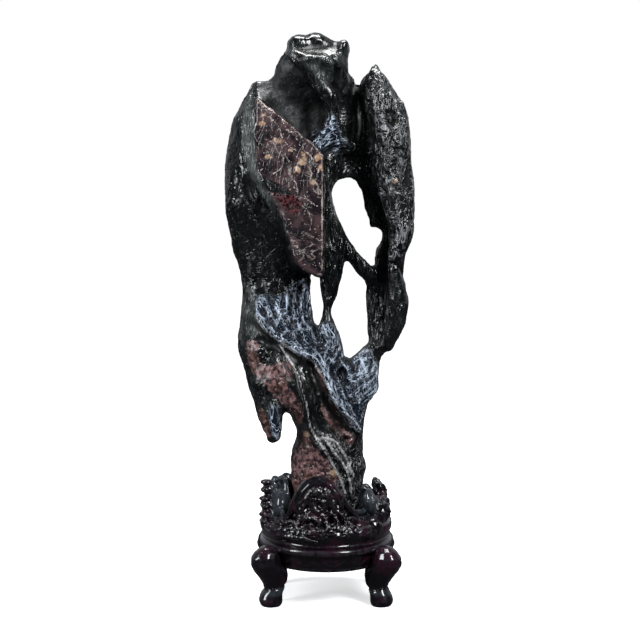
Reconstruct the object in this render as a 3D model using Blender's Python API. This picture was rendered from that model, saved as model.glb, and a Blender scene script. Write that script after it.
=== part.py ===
"""A pierced scholar's rock standing in a carved hardwood stand.

Every size below is in millimetres, from the stand's own axis (x to the right, y to the back,
z up from the surface it stands on). The last step turns millimetres into metres and puts the
origin under the middle of the whole object.

The rock and the carved crest are shaped like clay: limbs are pressed together, hollows and
windows are cut, lines are drawn on, and the outer surface is then taken off as a mesh.
"""

import math

import bmesh
import bpy
import numpy as np
from mathutils import Vector

MM = 0.001

# Driving dimensions of the stand.
LEG_ANGLES = {
    "leg_front_left": 217.0,
    "leg_front_right": 323.0,
    "leg_back_right": 37.0,
    "leg_back_left": 143.0,
}
DRUM_SIDES = 36
LEG_SIDES = 14
SOCKET_FLOOR = 54.0
SOCKET_CENTRE = (0.6, -0.1)
SOCKET_RADII = (23.6, 18.9)
GAP = 0.3
CREST_GAP = 1.2

# How finely the clay is sampled, and how many triangles are kept.
ROCK_STEP = 1.9
ROCK_TRIANGLES = 5300
CREST_STEP = 1.5
CREST_TRIANGLES = 1400

# The turned block, as (radius, height) from the middle of its underside round to its top.
DRUM_PROFILE = [
    (0, 38), (35, 38), (36.4, 28.4), (43.4, 28.4), (44.4, 30), (45.4, 38.6), (46.6, 40.4),
    (48.6, 40.8), (49, 42.6), (48.6, 45), (46.8, 46), (46.2, 47.6), (47.4, 49.4), (48, 55),
    (46.6, 58.8), (43.6, 60), (0, 60),
]
# A leg, as (height, distance of its middle from the axis, half thickness outward, half width).
LEG_STATIONS = [
    (1.4, 49.4, 6.6, 7.0),
    (2.8, 49.5, 8.0, 8.0),
    (6, 49.8, 8.6, 8.4),
    (9.6, 49, 8.0, 7.9),
    (12.8, 47, 7.6, 7.2),
    (17, 45.8, 8.9, 7.6),
    (22, 47, 11.2, 8.6),
    (27, 49.6, 13.2, 9.5),
    (32, 53, 12.4, 10),
    (37, 53.6, 11.4, 9.6),
    (41, 53, 9, 7.6),
    (44, 52.4, 5, 4.6),
    (45, 52.2, 2, 2),
]

# Carved lumps of the crest, as (angle, distance from the axis, height, half width, half depth,
# half height).
CREST_BUDS = [
    (261, 35, 73.5, 18.5, 8, 21.5),
    (153, 36, 65.5, 15, 5.5, 20),
    (184, 42.2, 80.8, 4.8, 5, 6.4),
    (187, 43.8, 70, 5.8, 5, 5.6),
    (190, 43.4, 61, 8, 5, 6.5),
    (338, 36, 69.5, 6.5, 5.5, 8.5),
    (18, 39.5, 81, 4, 4.6, 4.6),
    (14, 43, 76, 4.6, 5, 5.4),
    (16, 42, 66, 6, 5, 8),
    (339, 42.4, 66, 10.5, 6, 11),
    (284, 44, 57, 12, 6.5, 8.5),
    (243, 44, 56.5, 8, 6.4, 8),
    (222, 43, 57, 9, 6, 8),
    (78, 36, 69, 17, 7, 17),
    (128, 38, 64, 11, 6.5, 13),
    (42, 39, 64, 10, 6.5, 14),
    (264, 44, 55.5, 9, 6.4, 8),
    (307, 40, 56, 9, 5.5, 8),
    (0, 42, 58, 8, 5.5, 8),
]
# Waving vines round the crest, as (waves, reach along x, reach along y, height, wave height, radius).
CREST_VINES = [(11, 42, 42, 55, 2.5, 4.2), (7, 29.4, 24.6, 61, 3, 4)]
# Pits between the carved lumps, in the same terms.
CREST_PITS = [
    (250, 46, 62, 3.4, 4.5, 3.2),
    (266, 46, 62.5, 3, 4.5, 3.2),
    (275, 48, 53, 4, 4, 4),
    (232, 48, 57, 4, 4, 3.4),
    (290, 48.5, 57, 3.6, 4.5, 3.6),
    (70, 45, 66, 4, 4.5, 5),
    (88, 45, 62, 4, 4.5, 4),
    (110, 47, 58, 4.5, 4.5, 4),
    (55, 47, 57, 4.5, 4.5, 4),
]

# The rock's limbs. A station is (height, left, right, front, back).
SHOULDER = [
    (372, -55, -41, -5, 13),
    (362, -61.5, -28, -13, 20),
    (344, -68.5, -20, -18, 24),
    (315, -73, -14, -21, 26),
    (286, -73.5, -12, -20, 27),
    (266, -70, -11, -15, 27),
    (252, -67, -10, -12, 26),
    (232, -62, -11, -11, 24),
    (205, -61.5, -10, -16, 24),
    (184, -63, -8, -22, 23),
]
BACK_WALL = [
    (376, -34, 23, 2, 20),
    (368, -50, 30, 1, 25),
    (345, -58, 38, 2, 28),
    (325, -54, 40, 4, 29),
    (308, -46, 36, 4, 28),
    (296, -40, 10, 2, 25),
]
CROWN = [
    (401, -25.5, 10, -8, 13),
    (396, -32, 15.5, -14, 17),
    (388, -36, 16, -17, 20),
    (379, -38.8, 16.6, -13, 22),
    (370, -42, 20, -6, 24),
]
MIDDLE_COLUMN = [
    (338, -14, 16, -6, 22),
    (308, -9, 8, -9, 21),
    (290, -8, 5.5, -10, 20),
    (270, -7, 11, -9, 18),
    (250, -6, 13.5, -9, 17),
    (235, -4, 12, -8, 14),
    (222, -3, 8.5, -6, 11),
    (212, -2, 5, -5, 7),
    (203, -3.5, 7, -7, 9),
    (192, -8, 11, -10, 14),
    (178, -14, 14, -14, 18),
]
WING_FRONT = [
    (385, 32, 37, -7, 1),
    (380, 28, 43, -12, 8),
    (370, 27, 50, -15, 13),
    (358, 27, 57, -19, 15),
    (342, 33, 60.5, -21, 15),
    (323, 36, 62, -21, 15),
    (300, 37, 64, -20, 15),
    (281, 43, 64.2, -18, 15),
    (266, 46, 62.5, -17, 14),
    (249, 44, 57.5, -15, 13),
    (236, 44, 56.5, -14, 13),
    (217, 45, 59.5, -14, 13),
    (204, 44, 58.5, -13, 13),
    (193, 41, 54.5, -11, 11),
    (187, 40, 50, -7, 8),
]
WING_BACK = [
    (374, 25, 42, 0, 18),
    (350, 21, 50, 0, 24),
    (325, 20, 54, 3, 27),
    (306, 22, 56, 4, 27),
    (290, 26, 56, 4, 25),
    (272, 30, 56, 4, 25),
    (262, 35, 55, 4, 23),
    (245, 33, 53, 3, 22),
    (230, 29, 52, 3, 21),
    (211, 28.5, 51, 2, 19),
    (195, 30, 48, 0, 16),
    (184, 32, 42, -3, 12),
]
RIGHT_HIP = [
    (180, 22, 38, -4, 11),
    (174, 12, 38.5, -8, 14),
    (163, 2, 37.5, -12, 17),
    (153, -4, 38, -14, 19),
    (143, -8, 31, -16, 20),
    (128, -14, 26.5, -18, 20),
    (114, -18, 25, -19, 20),
]
BELLY = [
    (206, -60, -14, -14, 22),
    (190, -62.5, -6, -22, 24),
    (174, -60.5, 2, -28, 23),
    (160, -57.5, 7, -31, 21),
    (150, -53.5, 8, -30, 19),
    (142, -46, 6, -28, 17),
    (136, -26, 4, -25, 16),
]
HANGING_LOBE = [
    (158, -54, -28, -27, 4),
    (146, -52, -27, -28, 0),
    (136, -49.5, -29.5, -27, -4),
    (127, -46, -29.5, -25, -7),
    (122, -43.5, -30, -23, -9),
]
ROOT_COLUMN = [
    (150, -24, 18, -24, 18),
    (136, -24, 23, -24, 20),
    (121, -21, 24, -22, 20),
    (108, -25.3, 25.5, -21, 20),
    (97, -26, 29.3, -20.5, 20),
    (90, -26, 28.6, -20, 19.5),
    (84, -25.5, 27.4, -19.5, 19),
    (70, -22, 24, -18, 17.5),
    (50, -21, 21, -16.5, 16.5),
]
LIMB_END = 6.0  # how far a limb's rounded end reaches past its last station

# The slanting bridge between the two large windows, as (x, y, z, radius).
BRIDGE = [(4, 4, 288, 4.5), (11, 4, 268, 6), (20, 4, 251, 5.4), (29, 5, 241, 5.6), (40, 7, 231, 6.5)]
# The bright ridge that runs down the neck and forks above the upper window.
NECK_RIDGE = [
    (-18, -9, 388, 6), (-6, -11, 375, 5.5), (2, -11, 364, 5), (6, -9, 354, 4.5), (5, -7, 343, 4.5),
]
NECK_FORKS = [
    [(5, -7, 343, 4.5), (0, -9, 335, 4), (-7, -12, 328, 4)],
    [(5, -7, 343, 4.5), (10, -4, 335, 4), (18, 2, 330, 4)],
]
CROWN_KNOBS = [
    ((-19, 0, 402.2), (9.5, 11, 8)),
    ((-6.5, 2, 403), (8, 12, 9)),
    ((12, 0, 400), (5, 10, 6.6)),
]
# Hollows, as (centre, radii).
HOLLOWS = [
    ((-6, -19, 399.5), (15, 9, 4.8)),
    ((-22, -16, 352), (23, 15, 24)),
    ((21, -14, 346), (13, 15, 34)),
    ((-43, -27, 248), (20, 14, 30)),
    ((20, 32, 335), (26, 10, 38)),
    ((-38, 33, 214), (20, 11, 40)),
    ((-3, -19, 192), (7, 9, 8)),
]

# The red blade: a flat leaf of stone that stands proud of the left shoulder.
BLADE_OUTLINE = [
    (-50, 364), (-29, 346.5), (-15, 334), (-2, 322), (-1.5, 290), (-1.5, 240), (-4, 235),
    (-14, 240), (-22, 246), (-26, 259), (-30, 275), (-45, 304), (-50, 314),
]
BLADE_FACE = (-33.5, 0.27, 0.022)  # y where x is 0 and z is 300, then its slope along x and z
BLADE_BACK = -2.0

# Windows right through the rock, as (x, z) outlines.
UPPER_WINDOW = [
    (16, 308), (22, 306), (26, 299), (28, 288), (31, 278), (32, 270), (36, 272), (41, 270),
    (41.5, 263), (37.5, 256), (36, 249), (36, 243.5), (33.5, 243.5), (29.5, 247.5), (22, 255.5),
    (15.5, 264.5), (11, 274), (6.5, 285), (4, 295), (6, 302), (10, 306.5),
]
LOWER_WINDOW = [
    (15.5, 241), (20, 239), (24.5, 233), (29, 226), (29, 214), (30, 202), (31, 189), (26.5, 183),
    (21.5, 178.5), (18, 175.5), (14.5, 178), (12, 188), (9.3, 197), (5.2, 206), (4.4, 213), (9, 223),
    (12, 233),
]
SMALL_WINDOW = [
    (-8.5, 232), (-5.5, 228), (-4.2, 219), (-4.2, 209), (-5.2, 204), (-7.4, 204), (-9.4, 210),
    (-10.8, 219), (-10.4, 228),
]

# Lines drawn on the stone: points (x, z), half width, and height, which is negative for a groove.
FRONT_LINES = [
    (
        [
            (-52, 208), (-40, 196), (-28, 188), (-16, 180), (-7, 175),
            (-2, 166), (4, 154), (10, 142), (17, 133), (24, 125),
        ],
        3.4, 3.4,
    ),
    ([(-31, 187), (-25, 175), (-19, 166), (-15, 148), (-12, 132), (-8, 120), (2, 114), (9, 106)], 3.2, 2.6),
    ([(-10, 172), (-7, 158), (0, 143), (7, 130), (13, 117)], 4.5, -4.5),
    ([(-36, 190), (-27, 173), (-22, 156), (-20, 140)], 4.5, -2.0),
    ([(-31, 113), (-29, 130), (-30, 144), (-34, 154)], 4, -3.0),
    ([(-25, 396), (-14, 391.5), (-2, 391), (8, 387)], 2.4, 2.2),
    ([(52, 372), (46, 352), (48, 334), (56, 318), (57, 300)], 4, -3.2),
    ([(39, 352), (43, 335), (46, 312), (50, 290), (55, 272), (50, 250)], 3.2, 2.0),
    ([(-44, 300), (-30, 289), (-14, 280)], 3, -1.4),
    ([(-24, 261), (-13, 256), (-3, 251)], 3, -1.4),
    ([(-64, 350), (-60, 320), (-58, 296), (-50, 272)], 3.6, 1.8),
    ([(-57, 300), (-56, 270), (-50, 240), (-40, 220)], 5, -2.0),
]
BACK_LINES = [
    (
        [(-44, 352), (-38, 320), (-46, 286), (-34, 250), (-38, 214), (-22, 176), (-10, 132), (-4, 108)],
        5, 4.5,
    ),
    ([(44, 350), (40, 318), (46, 280), (42, 244), (42, 204), (30, 164), (12, 128), (10, 108)], 4.5, 3.6),
    ([(-6, 372), (-14, 342), (-4, 316), (-22, 290), (-20, 262), (-30, 232)], 5.5, -4.5),
    ([(-56, 300), (-54, 262), (-50, 224), (-42, 184), (-24, 150)], 6, -4.0),
    ([(18, 372), (22, 346), (14, 322)], 6, -4.5),
    ([(22, 158), (4, 138), (-6, 116)], 5, -3.5),
]


def smooth_through(points, per_gap=6, closed=False):
    """A Catmull-Rom curve through the points, as rows of an array."""
    p = np.array(points, float)
    if closed:
        p = np.vstack([p[-1:], p, p[:2]])
    else:
        p = np.vstack([2 * p[0] - p[1], p, 2 * p[-1] - p[-2]])
    t = np.linspace(0, 1, per_gap, endpoint=False)[:, None]
    runs = [
        0.5 * (2 * b + (c - a) * t + (2 * a - 5 * b + 4 * c - d) * t**2 + (3 * b - a - 3 * c + d) * t**3)
        for a, b, c, d in zip(p, p[1:], p[2:], p[3:])
    ]
    if not closed:
        runs.append(p[-2][None])
    return np.vstack(runs)


def line_distance(u, v, line, closed=False):
    """Distance in the (u, v) plane to a line of points."""
    ends = np.roll(line, -1, axis=0) if closed else line[1:]
    nearest = np.full(np.broadcast(u, v).shape, 1e9)
    for (au, av), (bu, bv) in zip(line, ends):
        du, dv = bu - au, bv - av
        t = np.clip(((u - au) * du + (v - av) * dv) / max(du * du + dv * dv, 1e-9), 0, 1)
        nearest = np.minimum(nearest, np.hypot(u - au - t * du, v - av - t * dv))
    return nearest


def outline_distance(u, v, outline):
    """Distance to a closed outline, negative inside it."""
    inside = np.zeros(np.broadcast(u, v).shape, bool)
    for (au, av), (bu, bv) in zip(outline, np.roll(outline, -1, axis=0)):
        spans = (av > v) != (bv > v)
        reach = (bu - au) * (v - av) / (bv - av if bv != av else 1e-9) + au
        inside ^= spans & (u < reach)
    away = line_distance(u, v, outline, closed=True)
    return np.where(inside, -away, away)


def blend_min(a, b, radius):
    """The nearer of two distances, rounded where they meet."""
    return np.minimum(a, b) - np.maximum(radius - np.abs(a - b), 0) ** 2 / (4 * radius)


class Clay:
    """Distances to a surface on a grid, negative inside it, that shapes are added to and cut from."""

    def __init__(self, low, high, step):
        axes = [np.arange(a, b + step, step) for a, b in zip(low, high)]
        self.low, self.step = np.array(low, float), step
        self.x = axes[0][:, None, None]
        self.y = axes[1][None, :, None]
        self.z = axes[2][None, None, :]
        self.d = np.full([len(a) for a in axes], 1e3)

    def add(self, shape, blend=4.0):
        self.d = blend_min(self.d, shape, blend)

    def cut(self, shape, blend=3.0):
        self.d = -blend_min(-self.d, shape, blend)

    def limb(self, stations):
        """A standing limb of oval sections with round ends."""
        s = smooth_through(stations)
        s = s[np.argsort(s[:, 0])]
        low, high = s[0, 0], s[-1, 0]
        at = np.clip(self.z, low, high)
        left, right, front, back = (np.interp(at, s[:, 0], s[:, n]) for n in range(1, 5))
        rx, ry = (right - left) / 2, (back - front) / 2
        u = (self.x - (left + right) / 2) / rx
        v = (self.y - (front + back) / 2) / ry
        scaled = np.sqrt(u * u + v * v)
        slope = np.sqrt((u / rx) ** 2 + (v / ry) ** 2)
        side = scaled * (scaled - 1) / np.maximum(slope, 1e-6)
        beyond = np.maximum(low - self.z, 0) + np.maximum(self.z - high, 0)
        end = np.minimum(np.minimum(rx, ry), LIMB_END)
        capped = np.hypot(np.maximum(side + end, 0), beyond) - end
        return np.where(beyond > 0, capped, side)

    def egg(self, centre, radii):
        """An ellipsoid."""
        p = [(g - c) / r for g, c, r in zip((self.x, self.y, self.z), centre, radii)]
        scaled = np.sqrt(sum(q * q for q in p))
        slope = np.sqrt(sum((q / r) ** 2 for q, r in zip(p, radii)))
        return scaled * (scaled - 1) / np.maximum(slope, 1e-6)

    def bud(self, angle, distance, height, width, depth, rise):
        """An ellipsoid that faces away from the stand's axis."""
        turn = math.radians(angle)
        out = self.x * math.cos(turn) + self.y * math.sin(turn)
        along = self.y * math.cos(turn) - self.x * math.sin(turn)
        p = [(out - distance) / depth, along / width, (self.z - height) / rise]
        scaled = np.sqrt(sum(q * q for q in p))
        slope = np.sqrt(sum((q / r) ** 2 for q, r in zip(p, (depth, width, rise))))
        return scaled * (scaled - 1) / np.maximum(slope, 1e-6)

    def vine(self, points, per_gap=4):
        """A bar along a curve, each point with its own radius."""
        p = smooth_through(points, per_gap)
        nearest = np.full(self.d.shape, 1e3)
        for a, b in zip(p, p[1:]):
            way = b - a
            along = sum(w * (g - c) for w, g, c in zip(way[:3], (self.x, self.y, self.z), a[:3]))
            t = np.clip(along / max(way[:3] @ way[:3], 1e-9), 0, 1)
            off = [g - c - t * w for g, c, w in zip((self.x, self.y, self.z), a[:3], way[:3])]
            nearest = np.minimum(nearest, np.sqrt(sum(o * o for o in off)) - a[3] - t * way[3])
        return nearest

    def draw(self, points, width, height, side):
        """Raises or sinks a line over the front (side -1) or the back (side 1)."""
        line = smooth_through(points)
        away = line_distance(self.x[:, :, 0], self.z[0], line)[:, None, :]
        faces_us = np.clip(self.y * side / 8, 0, 1)
        self.d = self.d - height * np.exp(-((away / width) ** 2)) * faces_us

    def settle(self):
        """Fills the cells where two parts of the surface would only touch at a line or a point."""
        cells = tuple(n - 1 for n in self.d.shape)
        corners = [np.array(c) for c in np.ndindex(2, 2, 2)]
        views = {tuple(c): tuple(slice(s, s + n) for s, n in zip(c, cells)) for c in corners}
        while True:
            inside = {c: self.d[view] < 0 for c, view in views.items()}
            count = sum(i.astype(int) for i in inside.values())
            doubtful = np.zeros(cells, bool)
            for c in corners:
                opposite = inside[tuple(1 - c)]
                here = inside[tuple(c)]
                doubtful |= here & opposite & (count == 2)
                doubtful |= ~here & ~opposite & (count == 6)
                for axis in range(3):
                    step_a, step_b = (np.eye(3, dtype=int)[k] for k in range(3) if k != axis)
                    if c @ (step_a + step_b) == 0:
                        far = inside[tuple(c + step_a + step_b)]
                        side = inside[tuple(c + step_a)]
                        other = inside[tuple(c + step_b)]
                        doubtful |= (here == far) & (side == other) & (here != side)
            if not doubtful.any():
                return
            for view in views.values():
                part = self.d[view]
                part[doubtful & (part >= 0)] = -0.1 * self.step

    def skin(self):
        """The surface as (points, quads): one point in each cell that it crosses."""
        self.settle()
        inside = self.d < 0
        total, hits = 0.0, 0
        cells = tuple(n - 1 for n in self.d.shape)
        place = np.indices(cells).astype(float)
        for axis in range(3):
            side_a, side_b = (k for k in range(3) if k != axis)
            for i, j in np.ndindex(2, 2):
                start = [0, 0, 0]
                start[side_a], start[side_b] = i, j
                near = self.d[tuple(slice(s, s + n) for s, n in zip(start, cells))]
                start[axis] = 1
                far = self.d[tuple(slice(s, s + n) for s, n in zip(start, cells))]
                crosses = (near < 0) != (far < 0)
                spot = np.zeros((3, *cells))
                spot[axis] = np.where(crosses, near / np.where(crosses, near - far, 1), 0)
                spot[side_a], spot[side_b] = i * crosses, j * crosses
                total, hits = total + spot, hits + crosses
        used = hits > 0
        index = np.full(cells, -1)
        index[used] = np.arange(used.sum())
        points = (place[:, used] + total[:, used] / hits[used]).T * self.step + self.low
        quads = []
        for axis in range(3):
            step_a, step_b = (np.eye(3, dtype=int)[(axis + k) % 3] for k in (1, 2))
            before = np.take(inside, range(self.d.shape[axis] - 1), axis)
            after = np.take(inside, range(1, self.d.shape[axis]), axis)
            for turn, found in ((1, before & ~after), (-1, after & ~before)):
                at = np.argwhere(found)
                ring = [at, at - step_a, at - step_a - step_b, at - step_b]
                quad = np.stack([index[tuple(c.T)] for c in ring], axis=1)
                quads.append(quad[:, ::turn])
        return points, np.vstack(quads)


def largest_piece(mesh):
    """Drops every loose piece but the one with the most points."""
    work = bmesh.new()
    work.from_mesh(mesh)
    unseen = set(work.verts)
    pieces = []
    while unseen:
        edge = [unseen.pop()]
        piece = set(edge)
        while edge:
            for line in edge.pop().link_edges:
                for v in line.verts:
                    if v in unseen:
                        unseen.discard(v)
                        piece.add(v)
                        edge.append(v)
        pieces.append(piece)
    keep = max(pieces, key=len)
    bmesh.ops.delete(work, geom=[v for v in work.verts if v not in keep], context="VERTS")
    work.to_mesh(mesh)
    work.free()


def mesh_object(name, points, faces):
    """A mesh object in metres from points in millimetres."""
    mesh = bpy.data.meshes.new(name)
    mesh.from_pydata((np.asarray(points) * MM).tolist(), [], [list(map(int, face)) for face in faces])
    obj = bpy.data.objects.new(name, mesh)
    bpy.context.scene.collection.objects.link(obj)
    return obj


def keep_few_triangles(obj, wanted):
    """Collapses flat stretches first, so that edges and lips keep their points."""
    triangles = sum(len(p.vertices) - 2 for p in obj.data.polygons)
    fewer = obj.modifiers.new("few_triangles", "DECIMATE")
    fewer.ratio = wanted / triangles
    fewer.use_collapse_triangulate = True


def blade(clay):
    """The flat red leaf: its front leans, so that its right edge stands furthest forward."""
    outline = np.array(BLADE_OUTLINE, float)
    edge = outline_distance(clay.x[:, :, 0], clay.z[0], outline)[:, None, :]
    level, slope_x, slope_z = BLADE_FACE
    face = level - slope_x * clay.x + slope_z * (clay.z - 300) - clay.y
    shape = -blend_min(-edge, -face, 1.2)
    return -blend_min(-shape, BLADE_BACK - clay.y, 1.2)


def window(clay, outline, flare=0.004):
    """A hole through the depth of the rock, a little wider at the front and the back."""
    line = smooth_through(outline, per_gap=4, closed=True)
    edge = outline_distance(clay.x[:, :, 0], clay.z[0], line)[:, None, :]
    return edge - flare * clay.y**2


def shape_rock():
    """The whole rock as clay."""
    clay = Clay((-80, -42, 48), (72, 38, 418), ROCK_STEP)
    for limb, blend in (
        (BACK_WALL, 3),
        (SHOULDER, 9),
        (CROWN, 8),
        (MIDDLE_COLUMN, 6),
        (WING_BACK, 8),
        (WING_FRONT, 6),
        (BELLY, 8),
        (RIGHT_HIP, 8),
        (ROOT_COLUMN, 8),
        (HANGING_LOBE, 5),
    ):
        clay.add(clay.limb(limb), blend)
    for centre, radii in CROWN_KNOBS:
        clay.add(clay.egg(centre, radii), 3.5)
    for centre, radii in HOLLOWS:
        clay.cut(clay.egg(centre, radii), 6)
    clay.add(blade(clay), 2.5)
    for bar in (NECK_RIDGE, *NECK_FORKS):
        clay.add(clay.vine(bar), 5)
    clay.add(clay.vine(BRIDGE), 4)
    for points, width, height in FRONT_LINES:
        clay.draw(points, width, height, -1)
    for points, width, height in BACK_LINES:
        clay.draw(points, width, height, 1)
    for outline in (UPPER_WINDOW, LOWER_WINDOW, SMALL_WINDOW):
        clay.cut(window(clay, outline), 3)
    clay.cut(clay.z - (SOCKET_FLOOR + GAP), 0.2)
    return clay


def shape_crest():
    """The carved crest that rises round the rock's foot, kept clear of the rock."""
    clay = Clay((-56, -52, 44), (56, 52, 96), CREST_STEP)
    for bud in CREST_BUDS:
        clay.add(clay.bud(*bud), 2.5)
    for count, wide, deep, height, wave, radius in CREST_VINES:
        turns = np.linspace(0, 2 * math.pi, 4 * count, endpoint=False)
        ring = [
            (wide * math.cos(t), deep * math.sin(t), height + wave * math.sin(count * t), radius)
            for t in (*turns, turns[0])
        ]
        clay.add(clay.vine(ring, 1), 2.5)
    for pit in CREST_PITS:
        clay.cut(clay.bud(*pit), 1.5)
    clay.cut(clay.limb(ROOT_COLUMN) - CREST_GAP, 0.5)
    return clay


def from_clay(name, clay, triangles):
    """A mesh object of the clay's surface, thinned to so many triangles."""
    points, faces = clay.skin()
    obj = mesh_object(name, points, faces)
    largest_piece(obj.data)
    keep_few_triangles(obj, triangles)
    return obj


def stacked(name, rings):
    """A closed solid through rings of equally many points, its ends filled."""
    sides = len(rings[0])
    points = [p for ring in rings for p in ring]
    faces = [
        [i * sides + j, i * sides + (j + 1) % sides, (i + 1) * sides + (j + 1) % sides, (i + 1) * sides + j]
        for i in range(len(rings) - 1)
        for j in range(sides)
    ]
    last = (len(rings) - 1) * sides
    faces.append(list(range(sides))[::-1])
    faces.append([last + j for j in range(sides)])
    return mesh_object(name, points, faces)


def turned(name, profile, sides):
    """A solid turned about the Z axis, from a profile that starts and ends on the axis."""
    work = bmesh.new()
    rings = []
    for radius, height in profile:
        if radius == 0:
            rings.append([work.verts.new((0, 0, height * MM))])
            continue
        turns = [2 * math.pi * k / sides for k in range(sides)]
        spots = [(radius * math.cos(t) * MM, radius * math.sin(t) * MM, height * MM) for t in turns]
        rings.append([work.verts.new(p) for p in spots])
    for a, b in zip(rings, rings[1:]):
        for k in range(sides):
            j = (k + 1) % sides
            corners = [a[k % len(a)], a[j % len(a)], b[j % len(b)], b[k % len(b)]]
            work.faces.new(list(dict.fromkeys(corners)))
    bmesh.ops.recalc_face_normals(work, faces=work.faces)
    mesh = bpy.data.meshes.new(name)
    work.to_mesh(mesh)
    work.free()
    obj = bpy.data.objects.new(name, mesh)
    bpy.context.scene.collection.objects.link(obj)
    return obj


def grown(profile, by):
    """The profile moved outward by a distance, its ends kept on the axis."""
    p = [Vector(q) for q in profile]
    moved = []
    for k, here in enumerate(p):
        before = (here - p[k - 1]).normalized() if k else (p[1] - p[0]).normalized()
        after = (p[k + 1] - here).normalized() if k + 1 < len(p) else before
        outs = [Vector((way.y, -way.x)) for way in (before, after)]
        middle = (outs[0] + outs[1]).normalized()
        spot = here + middle * by / middle.dot(outs[0])
        moved.append((0 if here.x == 0 else spot.x, spot.y))
    return moved


def tool_of(obj):
    """Marks a shape that only cuts or joins, so that it isn't built by itself."""
    obj.hide_render = True
    obj.display_type = "WIRE"
    return obj


def combine(target, tool, how):
    change = target.modifiers.new(f"{how.lower()}_{tool.name}", "BOOLEAN")
    change.operation = how
    change.solver = "EXACT"
    change.object = tool


def make_rock():
    return from_clay("rock", shape_rock(), ROCK_TRIANGLES)


def make_stand_body():
    """The turned block with its crest, and the recess that the rock's foot stands in."""
    body = turned("stand_body", DRUM_PROFILE, DRUM_SIDES)
    crest = tool_of(from_clay("crest", shape_crest(), CREST_TRIANGLES))
    turns = [2 * math.pi * k / DRUM_SIDES for k in range(DRUM_SIDES)]
    (cx, cy), (rx, ry) = SOCKET_CENTRE, SOCKET_RADII
    oval = [(cx + rx * math.cos(t), cy + ry * math.sin(t)) for t in turns]
    recess = tool_of(stacked("recess", [[(x, y, z) for x, y in oval] for z in (SOCKET_FLOOR, 61.5)]))
    combine(body, crest, "UNION")
    combine(body, recess, "DIFFERENCE")
    return body


def make_leg(name, angle, clearance):
    """A bent leg with a swollen knee and a small foot, cut to hug the turned block."""
    turn = math.radians(angle)
    rings = []
    for height, distance, thick, wide in LEG_STATIONS:
        ring = []
        for k in range(LEG_SIDES):
            t = 2 * math.pi * (k + 0.5) / LEG_SIDES
            out = distance + thick * math.cos(t)
            along = wide * math.sin(t)
            x = out * math.cos(turn) - along * math.sin(turn)
            y = out * math.sin(turn) + along * math.cos(turn)
            ring.append((x, y, height))
        rings.append(ring)
    leg = stacked(name, rings)
    combine(leg, clearance, "DIFFERENCE")
    return leg


def make_material(name, colour, roughness):
    material = bpy.data.materials.new(name)
    material.use_nodes = True
    shader = material.node_tree.nodes["Principled BSDF"]
    shader.inputs["Base Color"].default_value = (*colour, 1)
    shader.inputs["Roughness"].default_value = roughness
    return material


def stand_on_origin(parts):
    """Puts the origin under the middle of the whole object."""
    root = bpy.data.objects.new("root", None)
    bpy.context.scene.collection.objects.link(root)
    graph = bpy.context.evaluated_depsgraph_get()
    corners = []
    for part in parts:
        corners += [Vector(c) for c in part.evaluated_get(graph).bound_box]
    for obj in bpy.data.objects:
        obj.parent = root if obj != root else None
    low = Vector(map(min, zip(*corners)))
    high = Vector(map(max, zip(*corners)))
    root.location = (-(low.x + high.x) / 2, -(low.y + high.y) / 2, -low.z)


def main():
    for obj in list(bpy.data.objects):
        bpy.data.objects.remove(obj)
    rock = make_rock()
    body = make_stand_body()
    clearance = tool_of(turned("clearance", grown(DRUM_PROFILE, GAP), DRUM_SIDES))
    legs = [make_leg(name, angle, clearance) for name, angle in LEG_ANGLES.items()]
    rock.data.materials.append(make_material("stone", (0.05, 0.055, 0.06), 0.4))
    wood = make_material("lacquered_wood", (0.06, 0.02, 0.025), 0.25)
    for part in (body, *legs):
        part.data.materials.append(wood)
    stand_on_origin([rock, body, *legs])


main()
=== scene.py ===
# %% [markdown]
# A scholar's rock on its carved stand.
#
# The object is an upright, pierced dark stone. Wax makes it gleam, a flat copper-red leaf stands
# on its left shoulder, and pink patches run down to its foot. It stands in a turned wooden block
# with a carved crest and four short bent legs.
#
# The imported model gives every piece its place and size. This lesson dresses it: each piece is
# copied from the frame or built beside it, gets its fine shape by moving points with numpy, and
# then gets a finish made of nodes.

import math
from contextlib import contextmanager
from functools import reduce

import bmesh
import bpy
import numpy as np
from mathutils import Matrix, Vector, noise


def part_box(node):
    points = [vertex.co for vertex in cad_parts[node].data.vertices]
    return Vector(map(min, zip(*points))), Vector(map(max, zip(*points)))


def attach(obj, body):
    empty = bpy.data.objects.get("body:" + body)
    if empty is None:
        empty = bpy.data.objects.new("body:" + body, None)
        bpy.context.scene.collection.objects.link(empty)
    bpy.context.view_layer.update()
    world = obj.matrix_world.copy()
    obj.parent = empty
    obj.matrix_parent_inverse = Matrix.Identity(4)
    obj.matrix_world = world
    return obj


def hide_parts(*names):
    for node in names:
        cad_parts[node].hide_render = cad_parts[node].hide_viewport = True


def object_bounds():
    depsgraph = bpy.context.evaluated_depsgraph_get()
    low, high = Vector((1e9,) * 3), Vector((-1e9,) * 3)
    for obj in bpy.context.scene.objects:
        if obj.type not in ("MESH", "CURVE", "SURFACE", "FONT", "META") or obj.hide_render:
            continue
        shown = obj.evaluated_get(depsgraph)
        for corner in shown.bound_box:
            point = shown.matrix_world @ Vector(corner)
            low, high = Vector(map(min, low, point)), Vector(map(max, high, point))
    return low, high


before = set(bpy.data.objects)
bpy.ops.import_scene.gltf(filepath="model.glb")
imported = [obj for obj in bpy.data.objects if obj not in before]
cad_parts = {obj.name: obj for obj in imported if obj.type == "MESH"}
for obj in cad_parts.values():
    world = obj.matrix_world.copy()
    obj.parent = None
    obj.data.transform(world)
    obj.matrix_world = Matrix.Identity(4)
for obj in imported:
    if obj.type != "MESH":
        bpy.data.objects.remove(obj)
cad_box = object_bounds()
print("nodes:", sorted(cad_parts))

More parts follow.
